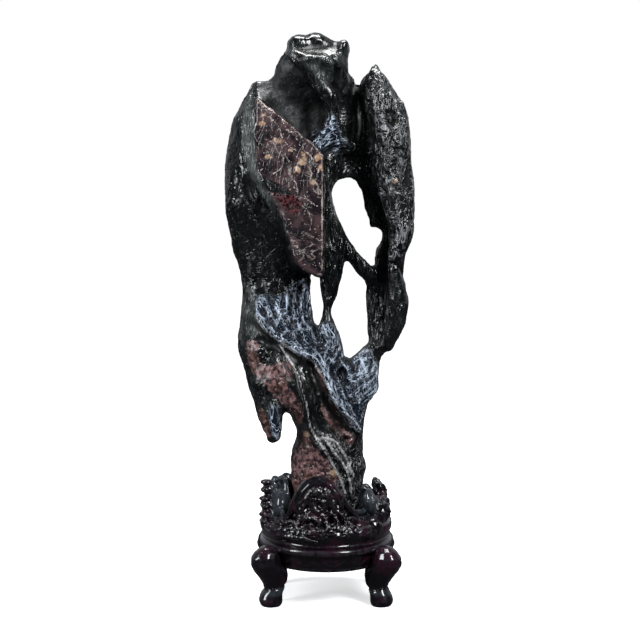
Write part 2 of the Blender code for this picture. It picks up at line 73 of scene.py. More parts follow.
# %% [markdown]
# The forms were drawn in millimetres from the stand's own axis, while the frame has its origin
# under the middle of the whole object. Two small functions turn one into the other, so that each
# line below can be given in the drawing's numbers. The axis is the middle of the four legs.

# %% Drawing millimetres and frame metres
LEGS = ("leg_front_left", "leg_front_right", "leg_back_right", "leg_back_left")
leg_corners = np.array([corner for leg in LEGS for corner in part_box(leg)])
axis_x, axis_y = (leg_corners.min(0) + leg_corners.max(0))[:2] / 2
SOLE = 1.4  # the drawing's height of the soles
MM = 1000  # millimetres in a metre


def to_drawing(points):
    return (np.asarray(points) - (axis_x, axis_y, 0)) * MM + (0, 0, SOLE)


def to_frame(points):
    return (np.asarray(points) - (0, 0, SOLE)) / MM + (axis_x, axis_y, 0)


print("the stand's axis is at", round(axis_x, 5), round(axis_y, 5))

# %% [markdown]
# Lines and outlines carry most of the drawing on the stone: ridges, grooves, the borders of the
# coloured patches. Each is a few points, made smooth by a curve through them, and every point of
# the mesh asks how far it is from the line.

# %% Distances to lines and outlines
FAR = 1e9


def smooth_through(points, per_gap=6, closed=False):
    """A Catmull-Rom curve through the points, as rows of an array."""
    p = np.array(points, float)
    if closed:
        p = np.vstack([p[-1:], p, p[:2]])
    else:
        p = np.vstack([2 * p[0] - p[1], p, 2 * p[-1] - p[-2]])
    t = np.linspace(0, 1, per_gap, endpoint=False)[:, None]
    runs = [
        0.5 * (2 * b + (c - a) * t + (2 * a - 5 * b + 4 * c - d) * t**2 + (3 * b - a - 3 * c + d) * t**3)
        for a, b, c, d in zip(p, p[1:], p[2:], p[3:])
    ]
    if not closed:
        runs.append(p[-2][None])
    return np.vstack(runs)


def stretches(spots, line, closed=False):
    """For each stretch of a line: its direction, each spot's offset from it, and its distance."""
    ends = np.roll(line, -1, axis=0) if closed else line[1:]
    for a, b in zip(line, ends):
        way = b - a
        share = np.clip((spots - a) @ way / max(way @ way, 1e-9), 0, 1)
        off = spots - a - share[:, None] * way
        yield way, off, np.hypot(off[:, 0], off[:, 1])


def line_distance(spots, line, closed=False):
    """How far each (u, v) spot is from a line of points."""
    nearest = np.full(len(spots), FAR)
    for _, _, away in stretches(spots, line, closed):
        nearest = np.minimum(nearest, away)
    return nearest


def side_distance(spots, line):
    """How far each spot is to the viewer's right of a line drawn downwards, negative on its left."""
    nearest = np.full(len(spots), FAR)
    signed = np.zeros(len(spots))
    for way, off, away in stretches(spots, line):
        turn = way[0] * off[:, 1] - way[1] * off[:, 0]
        signed = np.where(away < nearest, np.copysign(away, turn), signed)
        nearest = np.minimum(nearest, away)
    return signed


def outline_depth(spots, outline, per_gap=3):
    """How deep each (u, v) spot lies inside a closed smooth outline, negative outside it."""
    outline = smooth_through(outline, per_gap, closed=True)
    inside = np.zeros(len(spots), bool)
    u, v = spots.T
    for (au, av), (bu, bv) in zip(outline, np.roll(outline, -1, axis=0)):
        spans = (av > v) != (bv > v)
        reach = (bu - au) * (v - av) / (bv - av if bv != av else 1e-9) + au
        inside ^= spans & (u < reach)
    away = line_distance(spots, outline, closed=True)
    return np.where(inside, away, -away)


def oval(spots, x, z, wide, tall):
    """0 in the middle of an upright oval and 1 on its rim."""
    return ((spots[:, 0] - x) / wide) ** 2 + ((spots[:, 1] - z) / tall) ** 2


def ease(value, low, high):
    """0 below low, 1 above high, and a smooth step between them."""
    t = np.clip((value - low) / (high - low), 0, 1)
    return t * t * (3 - 2 * t)


# %% [markdown]
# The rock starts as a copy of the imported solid, which has the right outline, windows and hollows
# but large flat facets. The voxel remesh gives it an even net of points about a millimetre apart,
# close enough to carry ridges, and smoothing that pulls and then pushes back melts the facets
# without thinning the stone.

# %% Remesh the rock
ROCK_VOXEL = 0.00123
PULL, PUSH = 0.55, -0.57  # the push is a little stronger, so that nothing shrinks


def placed(name, data):
    """A new object in the scene."""
    obj = bpy.data.objects.new(name, data)
    bpy.context.scene.collection.objects.link(obj)
    return obj


@contextmanager
def edited(mesh):
    """Opens a mesh for the bmesh tools, and writes their result back."""
    work = bmesh.new()
    work.from_mesh(mesh)
    yield work
    work.to_mesh(mesh)
    work.free()


def merged_copy(node, name):
    """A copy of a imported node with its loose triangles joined."""
    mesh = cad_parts[node].data.copy()
    mesh.name = name
    mesh.materials.clear()
    with edited(mesh) as work:
        bmesh.ops.remove_doubles(work, verts=work.verts, dist=1e-6)
    return placed(name, mesh)


def evaluated_mesh(obj):
    """What the object's modifiers make of it, as a plain mesh."""
    graph = bpy.context.evaluated_depsgraph_get()
    return bpy.data.meshes.new_from_object(obj.evaluated_get(graph))


def remeshed(obj, voxel):
    change = obj.modifiers.new("even_net", "REMESH")
    change.mode = "VOXEL"
    change.voxel_size = voxel
    mesh = evaluated_mesh(obj)
    obj.modifiers.clear()
    obj.data = mesh
    mesh.name = obj.name
    return obj


def rows_of(items, field, width=3, kind=float):
    flat = np.empty(len(items) * width, kind)
    items.foreach_get(field, flat)
    return flat.reshape(-1, width)


def points_of(mesh):
    return rows_of(mesh.vertices, "co")


def normals_of(mesh):
    return rows_of(mesh.vertices, "normal")


def edges_of(mesh):
    return rows_of(mesh.edges, "vertices", 2, int)


def drawn_points(obj):
    return to_drawing(points_of(obj.data))


def move_points(mesh, points):
    mesh.vertices.foreach_set("co", np.asarray(points, np.float32).ravel())
    mesh.update()


def neighbour_mean(values, edges):
    """The mean of each point's neighbours, for rows of values."""
    total = np.zeros_like(values)
    count = np.bincount(edges.ravel(), minlength=len(values))
    for k in range(values.shape[1]):
        total[:, k] = np.bincount(edges[:, 0], values[edges[:, 1], k], len(values))
        total[:, k] += np.bincount(edges[:, 1], values[edges[:, 0], k], len(values))
    return total / np.maximum(count, 1)[:, None]


def melted(points, edges, times, strength=None):
    """Smoothed points: each round pulls towards the neighbours and then pushes back a little."""
    share = 1 if strength is None else strength[:, None]
    for _ in range(times):
        for step in (PULL, PUSH):
            points = points + step * share * (neighbour_mean(points, edges) - points)
    return points


def keep_value(obj, name, values):
    """A number on every point of the mesh, which a finish can read by its name."""
    attribute = obj.data.attributes.new(name, "FLOAT", "POINT")
    attribute.data.foreach_set("value", np.asarray(values, np.float32))


def measure_heights(obj, p, rounds, deepest):
    """Keeps how far each point stands out from its neighbourhood, for the finish to read."""
    edges = edges_of(obj.data)
    wide = p
    for _ in range(rounds):
        wide = neighbour_mean(wide, edges)
    out = ((p - wide) * normals_of(obj.data)).sum(1)
    keep_value(obj, "stands_out", np.clip(out / deepest, -1, 1))
    return out


rock = remeshed(merged_copy("rock", "rock_skin"), ROCK_VOXEL)
rock_edges = edges_of(rock.data)
print("rock_skin has", len(rock.data.vertices), "points and", len(rock.data.polygons), "faces")

# %% [markdown]
# The copper-red leaf is the one flat thing on the rock: a cleavage face, cut clean by nature. Its
# points are laid on one plane inside its outline, and its rim stays sharp because it is melted
# less than the rest.

# %% Melt the facets, and lay the leaf flat
LEAF_OUTLINE = [
    (-50, 363), (-40, 355.5), (-29, 347), (-15, 334.5), (-2.6, 322), (-2.2, 290), (-2.2, 240), (-4.5, 235.6),
    (-14, 240), (-22, 246), (-26, 259), (-30, 275), (-38, 290), (-45, 304), (-49.6, 314), (-50, 340),
]
LEAF_REACH = 3.5  # what lies this close to the leaf's plane, in mm, belongs to the leaf


def leaf_plane(p):
    """How far forward the leaf's plane is at each point's x and z."""
    return -33.5 - 0.27 * p[:, 0] + 0.022 * (p[:, 2] - 300)


def front_of(normals):
    """1 where the surface faces the viewer, 0 from the side on."""
    return ease(-normals[:, 1], 0.0, 0.45)


def sculpt_start():
    p = drawn_points(rock)
    leaf = outline_depth(p[:, [0, 2]], LEAF_OUTLINE)
    on_leaf = (p[:, 1] < leaf_plane(p) + 6) * ease(leaf, -3, 0)
    p = melted(p, rock_edges, 14, 1 - 0.9 * on_leaf)
    flat = leaf_plane(p)
    belongs = np.abs(p[:, 1] - flat) < LEAF_REACH
    p[:, 1] += belongs * ease(leaf, 0.2, 1.6) * (flat - p[:, 1])
    move_points(rock.data, to_frame(p))
    return p


rock_points = sculpt_start()
print("the rock is", np.round(np.ptp(rock_points, axis=0), 1), "mm")

# %% [markdown]
# Water and grit wore this stone, so nothing on it is even. Four kinds of relief follow: steps,
# where one plane of the stone stands proud of the next; ridges and grooves along drawn lines;
# broad dents and a crinkled skin; and pits in the sheltered hollows. Each moves the points along
# their normals, by a height in millimetres. All lines are (x, z) points on the front.

# %% Relief: steps between the planes
LONG_FOLD = [
    (-50.5, 208), (-48.8, 205), (-43, 197.5), (-33, 190), (-20, 181.4), (-10, 176), (-6, 170), (-3, 165.4),
    (0, 160), (3.4, 152), (7, 145), (10, 140.4), (14, 137.4), (18.6, 132), (22.3, 125),
]
STEPS = [
    # (points from top to bottom, rise on the viewer's right, rise on the left, reach in mm)
    ([(34, 386), (30, 379), (29, 371), (28.5, 363), (29.5, 354.5), (31.5, 348), (34.5, 341), (36.5, 333),
      (37, 324), (37, 312), (38, 300), (41, 290.5), (44, 281), (46.5, 274), (48, 266), (47, 256.5),
      (45.5, 245), (45.5, 235.5), (46, 226), (47, 213), (47, 207), (45.5, 197), (44.5, 187)], 2.2, -3.0, 6),
    ([(-25, 390), (-21.4, 385.4), (-17.2, 381.2), (-13.6, 377.7), (-10, 373), (-6, 368), (-3, 364),
      (0, 359.6), (2, 356), (3.5, 352.7), (4.2, 349), (2.8, 345.6), (-0.8, 341.5), (-5.8, 337),
      (-9.4, 334)], 1.8, -3.0, 7),
    ([(5, 385), (5.5, 378), (3.5, 372), (5, 366), (4.5, 360), (5.6, 352), (5.6, 343.4), (7.8, 338.6),
      (9.3, 331.3)], -2.4, 1.2, 5),
    (LONG_FOLD, 1.8, -1.2, 6),
    ([(-33, 187), (-30.6, 185), (-27, 178.6), (-23.5, 173.7), (-20, 169), (-18.5, 166), (-16.4, 156),
      (-15, 151), (-13.6, 146), (-12, 138), (-11.5, 130.6), (-9.4, 125), (-6.5, 120)], -2.2, 0.9, 4),
    ([(-53.4, 371.7), (-57, 365), (-60.4, 357), (-61.4, 340.4), (-59, 319), (-54, 298), (-45.6, 282),
      (-36, 271)], 0.9, -0.9, 4),
    ([(50, 364), (50.3, 354.4), (49.5, 344.2), (53.8, 335), (56.2, 326), (55.5, 312), (57.6, 294),
      (58.4, 280)], -1.2, 0.6, 4),
]


def near(spots, line, reach):
    """Which spots can be within reach of a line at all."""
    return np.flatnonzero((spots > line.min(0) - reach).all(1) & (spots < line.max(0) + reach).all(1))


def stepped_relief(p, front):
    height = np.zeros(len(p))
    spots = p[:, [0, 2]]
    for points, right, left, reach in STEPS:
        line = smooth_through(points, 4)
        close = near(spots, line, 4 * reach)
        away = side_distance(spots[close], line)
        rise = np.where(away > 0, right, left) * np.exp(-np.abs(away) / reach) * np.tanh(np.abs(away) / 0.7)
        height[close] += rise * front[close]
    return height


# %% Relief: ridges and grooves along drawn lines
LINES = [
    # (points, half width, height, negative for a groove)
    (LONG_FOLD, 1.3, 2.0),
    ([(-33, 187.7), (-27, 178.6), (-20, 169), (-16.4, 156), (-13.6, 146), (-11.5, 130.6), (-9.4, 125),
      (-6.5, 120), (-2, 113.6), (2, 107), (7, 97), (11, 89), (13.7, 80)], 1.5, 1.8),
    ([(-3, 121.4), (1.3, 117.3), (5, 112), (10, 105), (13.6, 99), (16.6, 90.6), (18, 80)], 0.8, 1.0),
    ([(-6.5, 120), (1.3, 120.7), (7.8, 116.7), (12.2, 110), (15.8, 102), (20, 92)], 0.8, 0.9),
    ([(-25, 390), (-20.7, 388), (-15.7, 389.2), (-10.7, 390.2), (-5.8, 390.6), (-0.8, 389.3), (3.4, 386.8),
      (5, 382)], 1.1, 1.5),
    ([(3.5, 353), (4.2, 349), (2.8, 345.6), (-0.8, 341.5), (-5.8, 337), (-9.4, 333)], 1.2, 1.4),
    ([(3.5, 349), (5.6, 343.4), (7.8, 338.6), (9.3, 331)], 1.0, 1.3),
    ([(-12.4, 232.5), (-16, 228), (-18, 221), (-18, 212), (-16, 202.5), (-12.3, 194.6),
      (-7.3, 186.6)], 0.9, 1.0),
    ([(-15.3, 234), (-21, 228.4), (-23, 219), (-22.4, 208.4), (-18.8, 197.7), (-13.7, 188.4)], 1.0, 1.2),
    ([(-27.4, 221), (-28, 212), (-26, 203.5), (-21.6, 195)], 0.9, 1.1),
    ([(-46, 215.5), (-40.3, 210.7), (-36, 203.6), (-30, 196.6)], 0.9, 1.0),
    ([(-36, 219), (-34.5, 210.7), (-30, 202)], 0.9, 0.8),
    ([(2.8, 181), (10, 174), (13.7, 165.4), (13, 156), (17, 147), (22.4, 136.8)], 1.4, -1.2),
    ([(30.6, 181), (35, 176.5), (36.5, 170.5)], 1.0, 1.0),
    ([(37.5, 165), (33.4, 160.7), (26, 155.4), (18.7, 150)], 1.0, 1.1),
    ([(37.5, 154), (32, 147), (26, 143.6)], 1.0, 1.0),
    ([(-42, 142), (-38.6, 135.7), (-36.5, 128), (-36, 121)], 0.9, 0.9),
    ([(-38.5, 141.5), (-34.4, 134), (-33, 126)], 0.7, 0.7),
    ([(38, 341.5), (43.7, 337.7), (49.5, 333.7), (55.3, 328)], 1.3, 2.0),
    ([(39, 325), (44.4, 321.4), (51, 319.5), (55, 317.7)], 1.2, 1.6),
    ([(38.5, 316), (42.5, 307.6), (45.3, 300.4), (47.5, 293.4), (50.3, 285)], 1.3, 2.0),
    ([(42.4, 319), (46.6, 308.8), (51, 300.4), (55.4, 291)], 1.2, 1.7),
    ([(40.7, 298), (45, 289.3), (48.4, 280.7), (50.6, 270)], 1.2, 1.7),
    ([(49.6, 219), (54.7, 226), (57, 231)], 1.2, 1.1),
    ([(47.6, 206), (52.5, 210.6), (56.2, 217)], 1.2, 1.1),
    ([(47.3, 246.5), (53, 242), (56, 235.7)], 1.4, -1.2),
    ([(41, 349.6), (45.3, 352), (49.5, 348.5), (46.7, 344.3), (41.6, 345.4)], 2.0, -1.4),
    ([(50.4, 357), (51.7, 351.5), (52.3, 346)], 1.6, 1.2),
    ([(4, 388), (8.4, 385.8), (12.8, 382.7), (15.8, 377.7)], 0.9, 0.9),
    ([(7, 393), (11.3, 389), (15, 384.6)], 0.9, 0.9),
    ([(5, 376.6), (9.3, 374), (13, 369)], 0.9, 0.8),
    ([(-22.9, 406), (-22.2, 401), (-23, 397)], 0.8, 0.9),
    ([(-20.8, 399.6), (-17, 397), (-11.5, 398), (-6, 399.9), (0, 397.5), (4, 397.6)], 3.0, -0.9),
    ([(-48, 190), (-41.4, 188), (-33.6, 184.8), (-30, 180)], 2.6, -2.0),
    ([(-18.6, 173), (-15.7, 164.6), (-13, 154.6), (-9.5, 143), (-7, 131)], 2.2, -2.0),
    ([(-45.5, 306), (-41, 303.8), (-36, 300.6), (-30, 297.6), (-23.4, 294.6), (-19, 292)], 0.7, -1.0),
    ([(-27.5, 269), (-20, 265), (-12.8, 262), (-2.5, 258)], 0.9, -1.2),
    ([(-21, 269.4), (-14, 266.3), (-8.6, 263.5), (-2.5, 261)], 0.7, -0.9),
    ([(-26, 259), (-21, 253), (-14, 247), (-8, 247), (-3, 250)], 1.2, -0.7),
    ([(4, 293), (8, 280), (13, 268.4), (20, 257.4), (27.8, 247.8), (33.6, 240.5)], 0.8, 0.8),
    ([(0, 316), (0, 298), (-0.5, 280), (0.5, 262), (2, 246), (4, 230)], 0.9, 0.8),
    ([(3.6, 298), (4.3, 280), (6.4, 266), (8.6, 251.5), (10, 240.6)], 0.9, 0.8),
]
SWELLINGS = [
    # (x, z, half width, half height, rise)
    (-12, 252.5, 8, 4.2, 1.5), (-8, 316, 4, 3, 0.7), (-19, 311, 3.6, 2.6, 0.7), (-30, 321, 9, 5, 0.6),
    (-12, 282, 6, 9, 0.7), (14.5, 122.5, 2.6, 2.4, 1.6), (18, 118, 2.4, 2.4, 1.6), (20.5, 121, 2, 2.2, 1.2),
    (16, 115, 2, 1.8, 1.2), (54, 360, 3.4, 4, 1.4), (-40, 372, 2, 2, 0.8), (14, 403, 4, 3, 0.8),
    (-19, 402, 5, 4, 0.8),
]
ARCH = [
    (4, 300), (5, 308), (7.2, 314), (11.7, 318.4), (16, 319.6), (20.5, 318), (25, 313), (28, 306),
    (30, 299),
]
ARCH_RIPPLE, ARCH_FADE = 3.3, 7  # the ripples beside the arch lie 3.3 mm apart and fade over 7 mm


def drawn_relief(p, front):
    height = np.zeros(len(p))
    spots = p[:, [0, 2]]
    for points, width, rise in LINES:
        line = smooth_through(points)
        close = near(spots, line, 5 * width)
        away = line_distance(spots[close], line) / width
        crest = np.exp(-away) if rise > 0 else np.exp(-(away**2))
        height[close] += rise * crest * front[close]
    for x, z, wide, tall, rise in SWELLINGS:
        height += rise * np.exp(-oval(spots, x, z, wide, tall)) * front
    away = line_distance(spots, smooth_through(ARCH))
    above = ease(spots[:, 1], 300, 308) * front
    height += 0.75 * above * np.cos(2 * math.pi * away / ARCH_RIPPLE) * np.exp(-away / ARCH_FADE)
    return height


# %% Relief: dents, crinkled skin and pits
CRINKLED = [
    # outlines on the front, and how strongly the skin is crinkled there
    ([(-50, 221), (-42, 223), (-33, 222), (-27.5, 226), (-22.5, 232), (-14, 236), (-9, 228), (-9, 202),
      (3, 202), (10, 190), (14, 175), (8, 157), (0, 160), (-10, 176), (-20, 181), (-33, 190), (-43, 197),
      (-51, 208)], 1.0),
    ([(3, 183), (14, 172), (21, 178), (30, 183), (40, 165), (38, 148), (28, 134), (24, 122), (16, 134),
      (7, 145), (-2, 164)], 1.0),
    ([(36, 250), (62, 260), (68, 330), (58, 370), (38, 384), (30, 360), (36, 330)], 0.8),
    ([(-10, 126), (2, 122), (24, 122), (34, 90), (26, 60), (8, 60), (2, 90)], 0.9),
    ([(-40, 146), (-34, 146), (-31, 122), (-36, 118), (-40, 124)], 0.7),
]
HOLLOW_SKIN = [
    ([(-74, 330), (-62, 330), (-56, 298), (-36, 270), (-28, 252), (-15, 238), (-26, 226), (-50, 222),
      (-66, 232), (-76, 290)], 1.0),
    ([(-48, 366), (-24, 388), (0, 356), (-10, 334), (-28, 350)], 0.9),
    ([(8, 360), (28, 364), (36, 330), (36, 300), (28, 312), (20, 322), (9, 334)], 0.8),
    ([(-60, 190), (-34, 186), (-22, 176), (-16, 150), (-22, 124), (-44, 116), (-62, 150)], 0.9),
    ([(-18, 172), (-6, 164), (4, 140), (22, 116), (-4, 116), (-10, 136)], 1.0),
]
STREAKY = [
    ([(-5, 322), (8, 316), (8, 290), (12, 262), (34, 246), (36, 236), (22, 240), (12, 240), (10, 222),
      (-3, 214), (-4, 236)], 1.0),
    ([(28, 312), (38, 320), (40, 290), (47, 266), (46, 190), (30, 186), (28, 240), (36, 268)], 0.7),
    ([(-26, 230), (-10, 238), (-9, 200), (2, 202), (14, 176), (0, 176), (-16, 186)], 0.8),
]


def zone(p, areas, soften):
    """How much each point belongs to any of the areas."""
    amount = np.zeros(len(p))
    for outline, strength in areas:
        depth = outline_depth(p[:, [0, 2]], outline)
        amount = np.maximum(amount, strength * ease(depth, -soften, soften))
    return amount


def ridged(p, size, octaves=3, stretch=(1, 1, 1), seed=0.0):
    """Crossing ridges of a given size in millimetres, about 0 to 1.5 high."""
    q = (p / (np.array(stretch) * size) + seed).tolist()
    return np.array([noise.ridged_multi_fractal(v, 0.9, 2.1, octaves, 1.0, 2.0) for v in q])


def uneven(p, size, octaves=2, stretch=(1, 1, 1), seed=0.0):
    """Soft unevenness of a given size in millimetres, about -1 to 1."""
    q = (p / (np.array(stretch) * size) + seed).tolist()
    return np.array([noise.fractal(v, 1.0, 2.0, octaves) for v in q])


def cells(p, size, seed=0.0):
    """How far each point is from the nearest of many scattered seeds, in sizes."""
    q = (p / size + seed).tolist()
    return np.array([noise.voronoi(v)[0][0] for v in q])


RELIEF_LIMITS = (-4.5, 3.2)  # the deepest and the highest relief, in mm
ROCK_MARGIN = 0.02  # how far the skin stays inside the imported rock's box, in mm


def sculpt(p):
    normals = normals_of(rock.data)
    front = front_of(normals)
    leaf = ease(outline_depth(p[:, [0, 2]], LEAF_OUTLINE), -0.5, 0.8) * front
    leaf *= np.abs(p[:, 1] - leaf_plane(p)) < LEAF_REACH + 0.5
    bare = 1 - leaf
    back = 1 - front
    crinkle = bare * np.maximum(zone(p, CRINKLED, 3) * front, 0.10 + 0.5 * back)
    pitted = bare * np.maximum(zone(p, HOLLOW_SKIN, 4) * front, 0.15 + 0.35 * back)
    streaky = bare * zone(p, STREAKY, 3) * front
    height = bare * stepped_relief(p, front) + drawn_relief(p, front)
    height += bare * 0.8 * uneven(p, 16, 2, (1, 1, 1.6))
    height += bare * 0.5 * uneven(p, 7, 2, (1, 1, 1.5), 3.1)
    height += crinkle * 1.0 * (ridged(p, 7, 3, (0.8, 0.8, 1.5)) - 0.8)
    height += streaky * 0.6 * (ridged(p, 5, 2, (0.7, 0.7, 4), 2.2) - 0.8)
    pits = np.clip(0.36 - cells(p, 5.2), 0, 1) + 0.6 * np.clip(0.38 - cells(p, 3.0, 5.0), 0, 1)
    height -= pitted * 2.2 * pits
    height += leaf * 0.12 * (ridged(p, 9, 3, (1, 1, 1), 7.3) - 0.8)
    height = np.clip(height, *RELIEF_LIMITS) * ease(p[:, 2], 58, 72)
    p = p + height[:, None] * normals
    for name, values in (("crinkle", crinkle), ("pitted", pitted), ("streaky", streaky)):
        keep_value(rock, name, values)
    low, high = map(to_drawing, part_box("rock"))
    return np.clip(p, low + ROCK_MARGIN, high - ROCK_MARGIN)


rock_points = sculpt(rock_points)
move_points(rock.data, to_frame(rock_points))
rock.data.shade_smooth()
print("the sculpted rock is", np.round(np.ptp(rock_points, axis=0), 1), "mm")

# %% [markdown]
# The colours lie in patches with ragged borders. Each patch is an outline on the front of the
# stone, and the mesh keeps how deep every point lies inside it. The finish adds noise to that
# depth before it draws the border, so the border is finer than the mesh. Veins, threads and the
# guides of the flowing skin are kept as distances, and the smooth planes as a tone, which below
# zero is painted shade in the recesses. One more number is measured on the mesh itself: how much
# a point sticks out. The finish paints highlights on the ridges that stand out and shade in what
# lies deep.

# %% Paint the patches on the rock
PINK = [
    [(-57, 188), (-53, 190), (-49.4, 189.4), (-48, 184), (-48.6, 178), (-45, 174), (-40.6, 172.8),
     (-33.5, 175), (-26.4, 175.8), (-24, 171), (-24, 165), (-27.7, 160.4), (-25, 155), (-20, 149.4),
     (-16.5, 142), (-17, 134.5), (-20, 130), (-24, 134.6), (-28, 141.7), (-32, 147), (-37.8, 152),
     (-43.4, 159.4), (-50, 165), (-55.4, 174)],
    [(-10, 172), (-6.5, 172.3), (-3, 165.4), (0, 159), (1.3, 155), (-2, 153), (-5.8, 158.7), (-8.7, 165.8)],
    [(-3.7, 145.8), (0.6, 143.4), (5, 136), (10.7, 129.5), (16.5, 124.3), (21, 120), (17.3, 115), (12, 118),
     (6.4, 125), (0.6, 132.8), (-3, 140)],
    [(-21, 123), (-15, 125.7), (-11.6, 118.7), (-6.5, 111.7), (0, 104.5), (5, 97.8), (8, 92), (6, 84),
     (-2, 78), (-26, 78), (-25, 98), (-23, 110), (-22, 117)],
    [(-47, 142.5), (-42.8, 139.3), (-40.8, 131), (-39.4, 123.6), (-41.7, 119), (-44.6, 126), (-48, 134.6)],
]
OCHRE = [
    (-40.4, 320.7, 1.8), (-25.5, 325.3, 1.3), (-17.4, 317, 2.8), (-20.5, 311, 2.2), (-5.5, 319.5, 2.6),
    (-4.5, 312, 2.0), (-9.3, 302.6, 2.0), (-32, 332.4, 1.5), (-45.4, 344.7, 1.8), (-36, 333, 1.2),
    (-15.6, 322.3, 1.2), (-44, 350, 1.4), (5, 95, 2.4), (-14, 123, 2.4), (48.8, 304, 1.4),
]
RED_PATCH = [
    (-39, 297), (-28.3, 294.5), (-19, 292.2), (-17, 287.3), (-18.5, 281), (-22.7, 279), (-29, 284.7),
    (-35.5, 291),
]
BLUISH = [
    CRINKLED[0][0], CRINKLED[1][0],
    [(-12, 338), (-4, 345), (4, 352), (9, 342), (14, 334), (10, 328), (2, 324), (-8, 326)],
    [(-41, 143), (-35, 143), (-32, 124), (-36, 118), (-39, 124)],
]
WEDGE = [(-46, 306), (-38, 304), (-30, 299), (-22, 294), (-30, 294.5), (-38, 296), (-43, 299.5)]
VEINS = [LINES[k][0] for k in (0, 1, 2, 3)]
GUIDES = [LINES[k][0] for k in (0, 1, 2, 7, 8, 10, 13, 14, 20, 21)] + [ARCH]
THREADS = [
    [(-46.4, 357.2), (-40, 354.5), (-34.8, 351.8), (-30.3, 347.3), (-26.3, 344.3), (-19.5, 342.5),
     (-15, 338.3)],
    [(-42.8, 350), (-37.4, 346.4), (-33, 341), (-31.2, 333.8), (-26.3, 328.1), (-21.3, 324.9)],
    [(-39.6, 349), (-38.2, 344.6), (-39.6, 338.3)],
    [(-29.4, 323), (-25.8, 315.9), (-26.3, 308.7), (-21.3, 301.5), (-19.8, 294.3)],
    [(-19.5, 337.4), (-15.9, 330.2), (-16.2, 324.9), (-11.4, 321.3), (-8.7, 314), (-5, 312.3)],
    [(-14, 315.9), (-10.5, 308.7), (-11.4, 301.5), (-6.5, 294.3)],
    [(-43.7, 333.8), (-37.4, 330.2), (-34.8, 324.9), (-30.3, 319.5), (-32, 312.3), (-37.4, 308.7)],
    [(-19.5, 287), (-14, 283.5), (-10.5, 276.3), (-11.4, 269)],
    [(-24.9, 258.3), (-19.5, 256.5), (-15.9, 251), (-19.5, 246.6)],
    [(-26.3, 297.9), (-21.3, 292.5), (-14, 290.7), (-6.5, 285.3)],
    [(-31.2, 346.4), (-26.3, 338.3), (-19.5, 337.4)],
    [(-46.4, 355.4), (-44.6, 348.2), (-46.4, 341)],
    [(-47, 360), (-40, 355), (-29, 346.6), (-15, 334), (-3.2, 321.6)],
    [(-3.0, 318), (-3.0, 290), (-3.0, 262), (-3.2, 240)],
    [(-17, 268), (-9, 264), (-3, 261)],
]
PALE_PLANES_AND_SHADE = [
    # outlines of paler smooth planes; below 0, painted shade in recesses and on the facet above the leaf
    ([(-54.4, 369.8), (-51.7, 362.5), (-50.8, 335), (-47, 309.5), (-39.8, 295), (-30.7, 280.3),
      (-26.6, 267.5), (-26.6, 260), (-33.4, 273), (-45.3, 293), (-52.6, 306), (-58, 320.5), (-60, 338.8),
      (-59, 357)], 0.9),
    ([(-30.7, 388), (-27, 401), (-19.7, 406.4), (-14.2, 401), (-19.7, 395.4), (-25.2, 390)], 0.45),
    ([(-19.7, 390), (-5, 391.8), (6, 388), (4, 375.3), (-1.4, 368), (-5, 373.5), (-10.6, 380.8)], 0.6),
    ([(4, 393.6), (15, 401), (16.8, 391.8), (13.2, 384.4)], 0.5),
    ([(-51, 374), (-38, 384), (-33, 393), (-25, 391), (-14.2, 379), (-1.4, 359), (2.2, 348), (-14.2, 331),
      (-33, 350), (-47, 361)], -1.0),
    ([(27.8, 375.3), (35, 382.6), (44.2, 375.3), (51.6, 364.3), (53.4, 353.4), (42.4, 351.6), (33.3, 357),
      (28.7, 366.2)], 0.22),
    ([(36.9, 335), (53.4, 338.8), (60.7, 320.5), (60.7, 295), (53.4, 273), (44.2, 273), (38.8, 293),
      (36, 316.8)], 0.28),
    ([(-69, 306), (-52.6, 302), (-30.7, 265.7), (-30.7, 242), (-60, 242)], -0.6),
    ([(6, 366), (27.8, 364.3), (35, 335), (35, 309.5), (24, 324), (7.7, 331.5), (4, 349.7)], -0.6),
    ([(-60, 227.7), (-50.8, 224), (-47, 204), (-49, 193), (-57, 193), (-60, 209.4)], 0.6),
    ([(31.5, 240), (42.4, 240), (46, 215), (44.2, 186), (33.3, 184)], -0.8),
    ([(-63.5, 251.4), (-30.7, 251.4), (-27, 238.7), (-50.8, 227.7), (-60, 233)], -0.5),
    ([(-12.4, 176.5), (-5, 174.7), (-1.4, 145.5), (2.2, 129), (-5, 129), (-10.6, 141.8)], -0.8),
    ([(-45.3, 187.5), (-30.7, 185.7), (-27, 174.7), (-41.6, 174.7)], -0.6),
    ([(-43.4, 145.5), (-32.5, 145.5), (-30.7, 131), (-36, 121.7), (-41.6, 129)], 0.4),
]
DEEPEST = 9.0  # depths and distances are kept up to this many mm


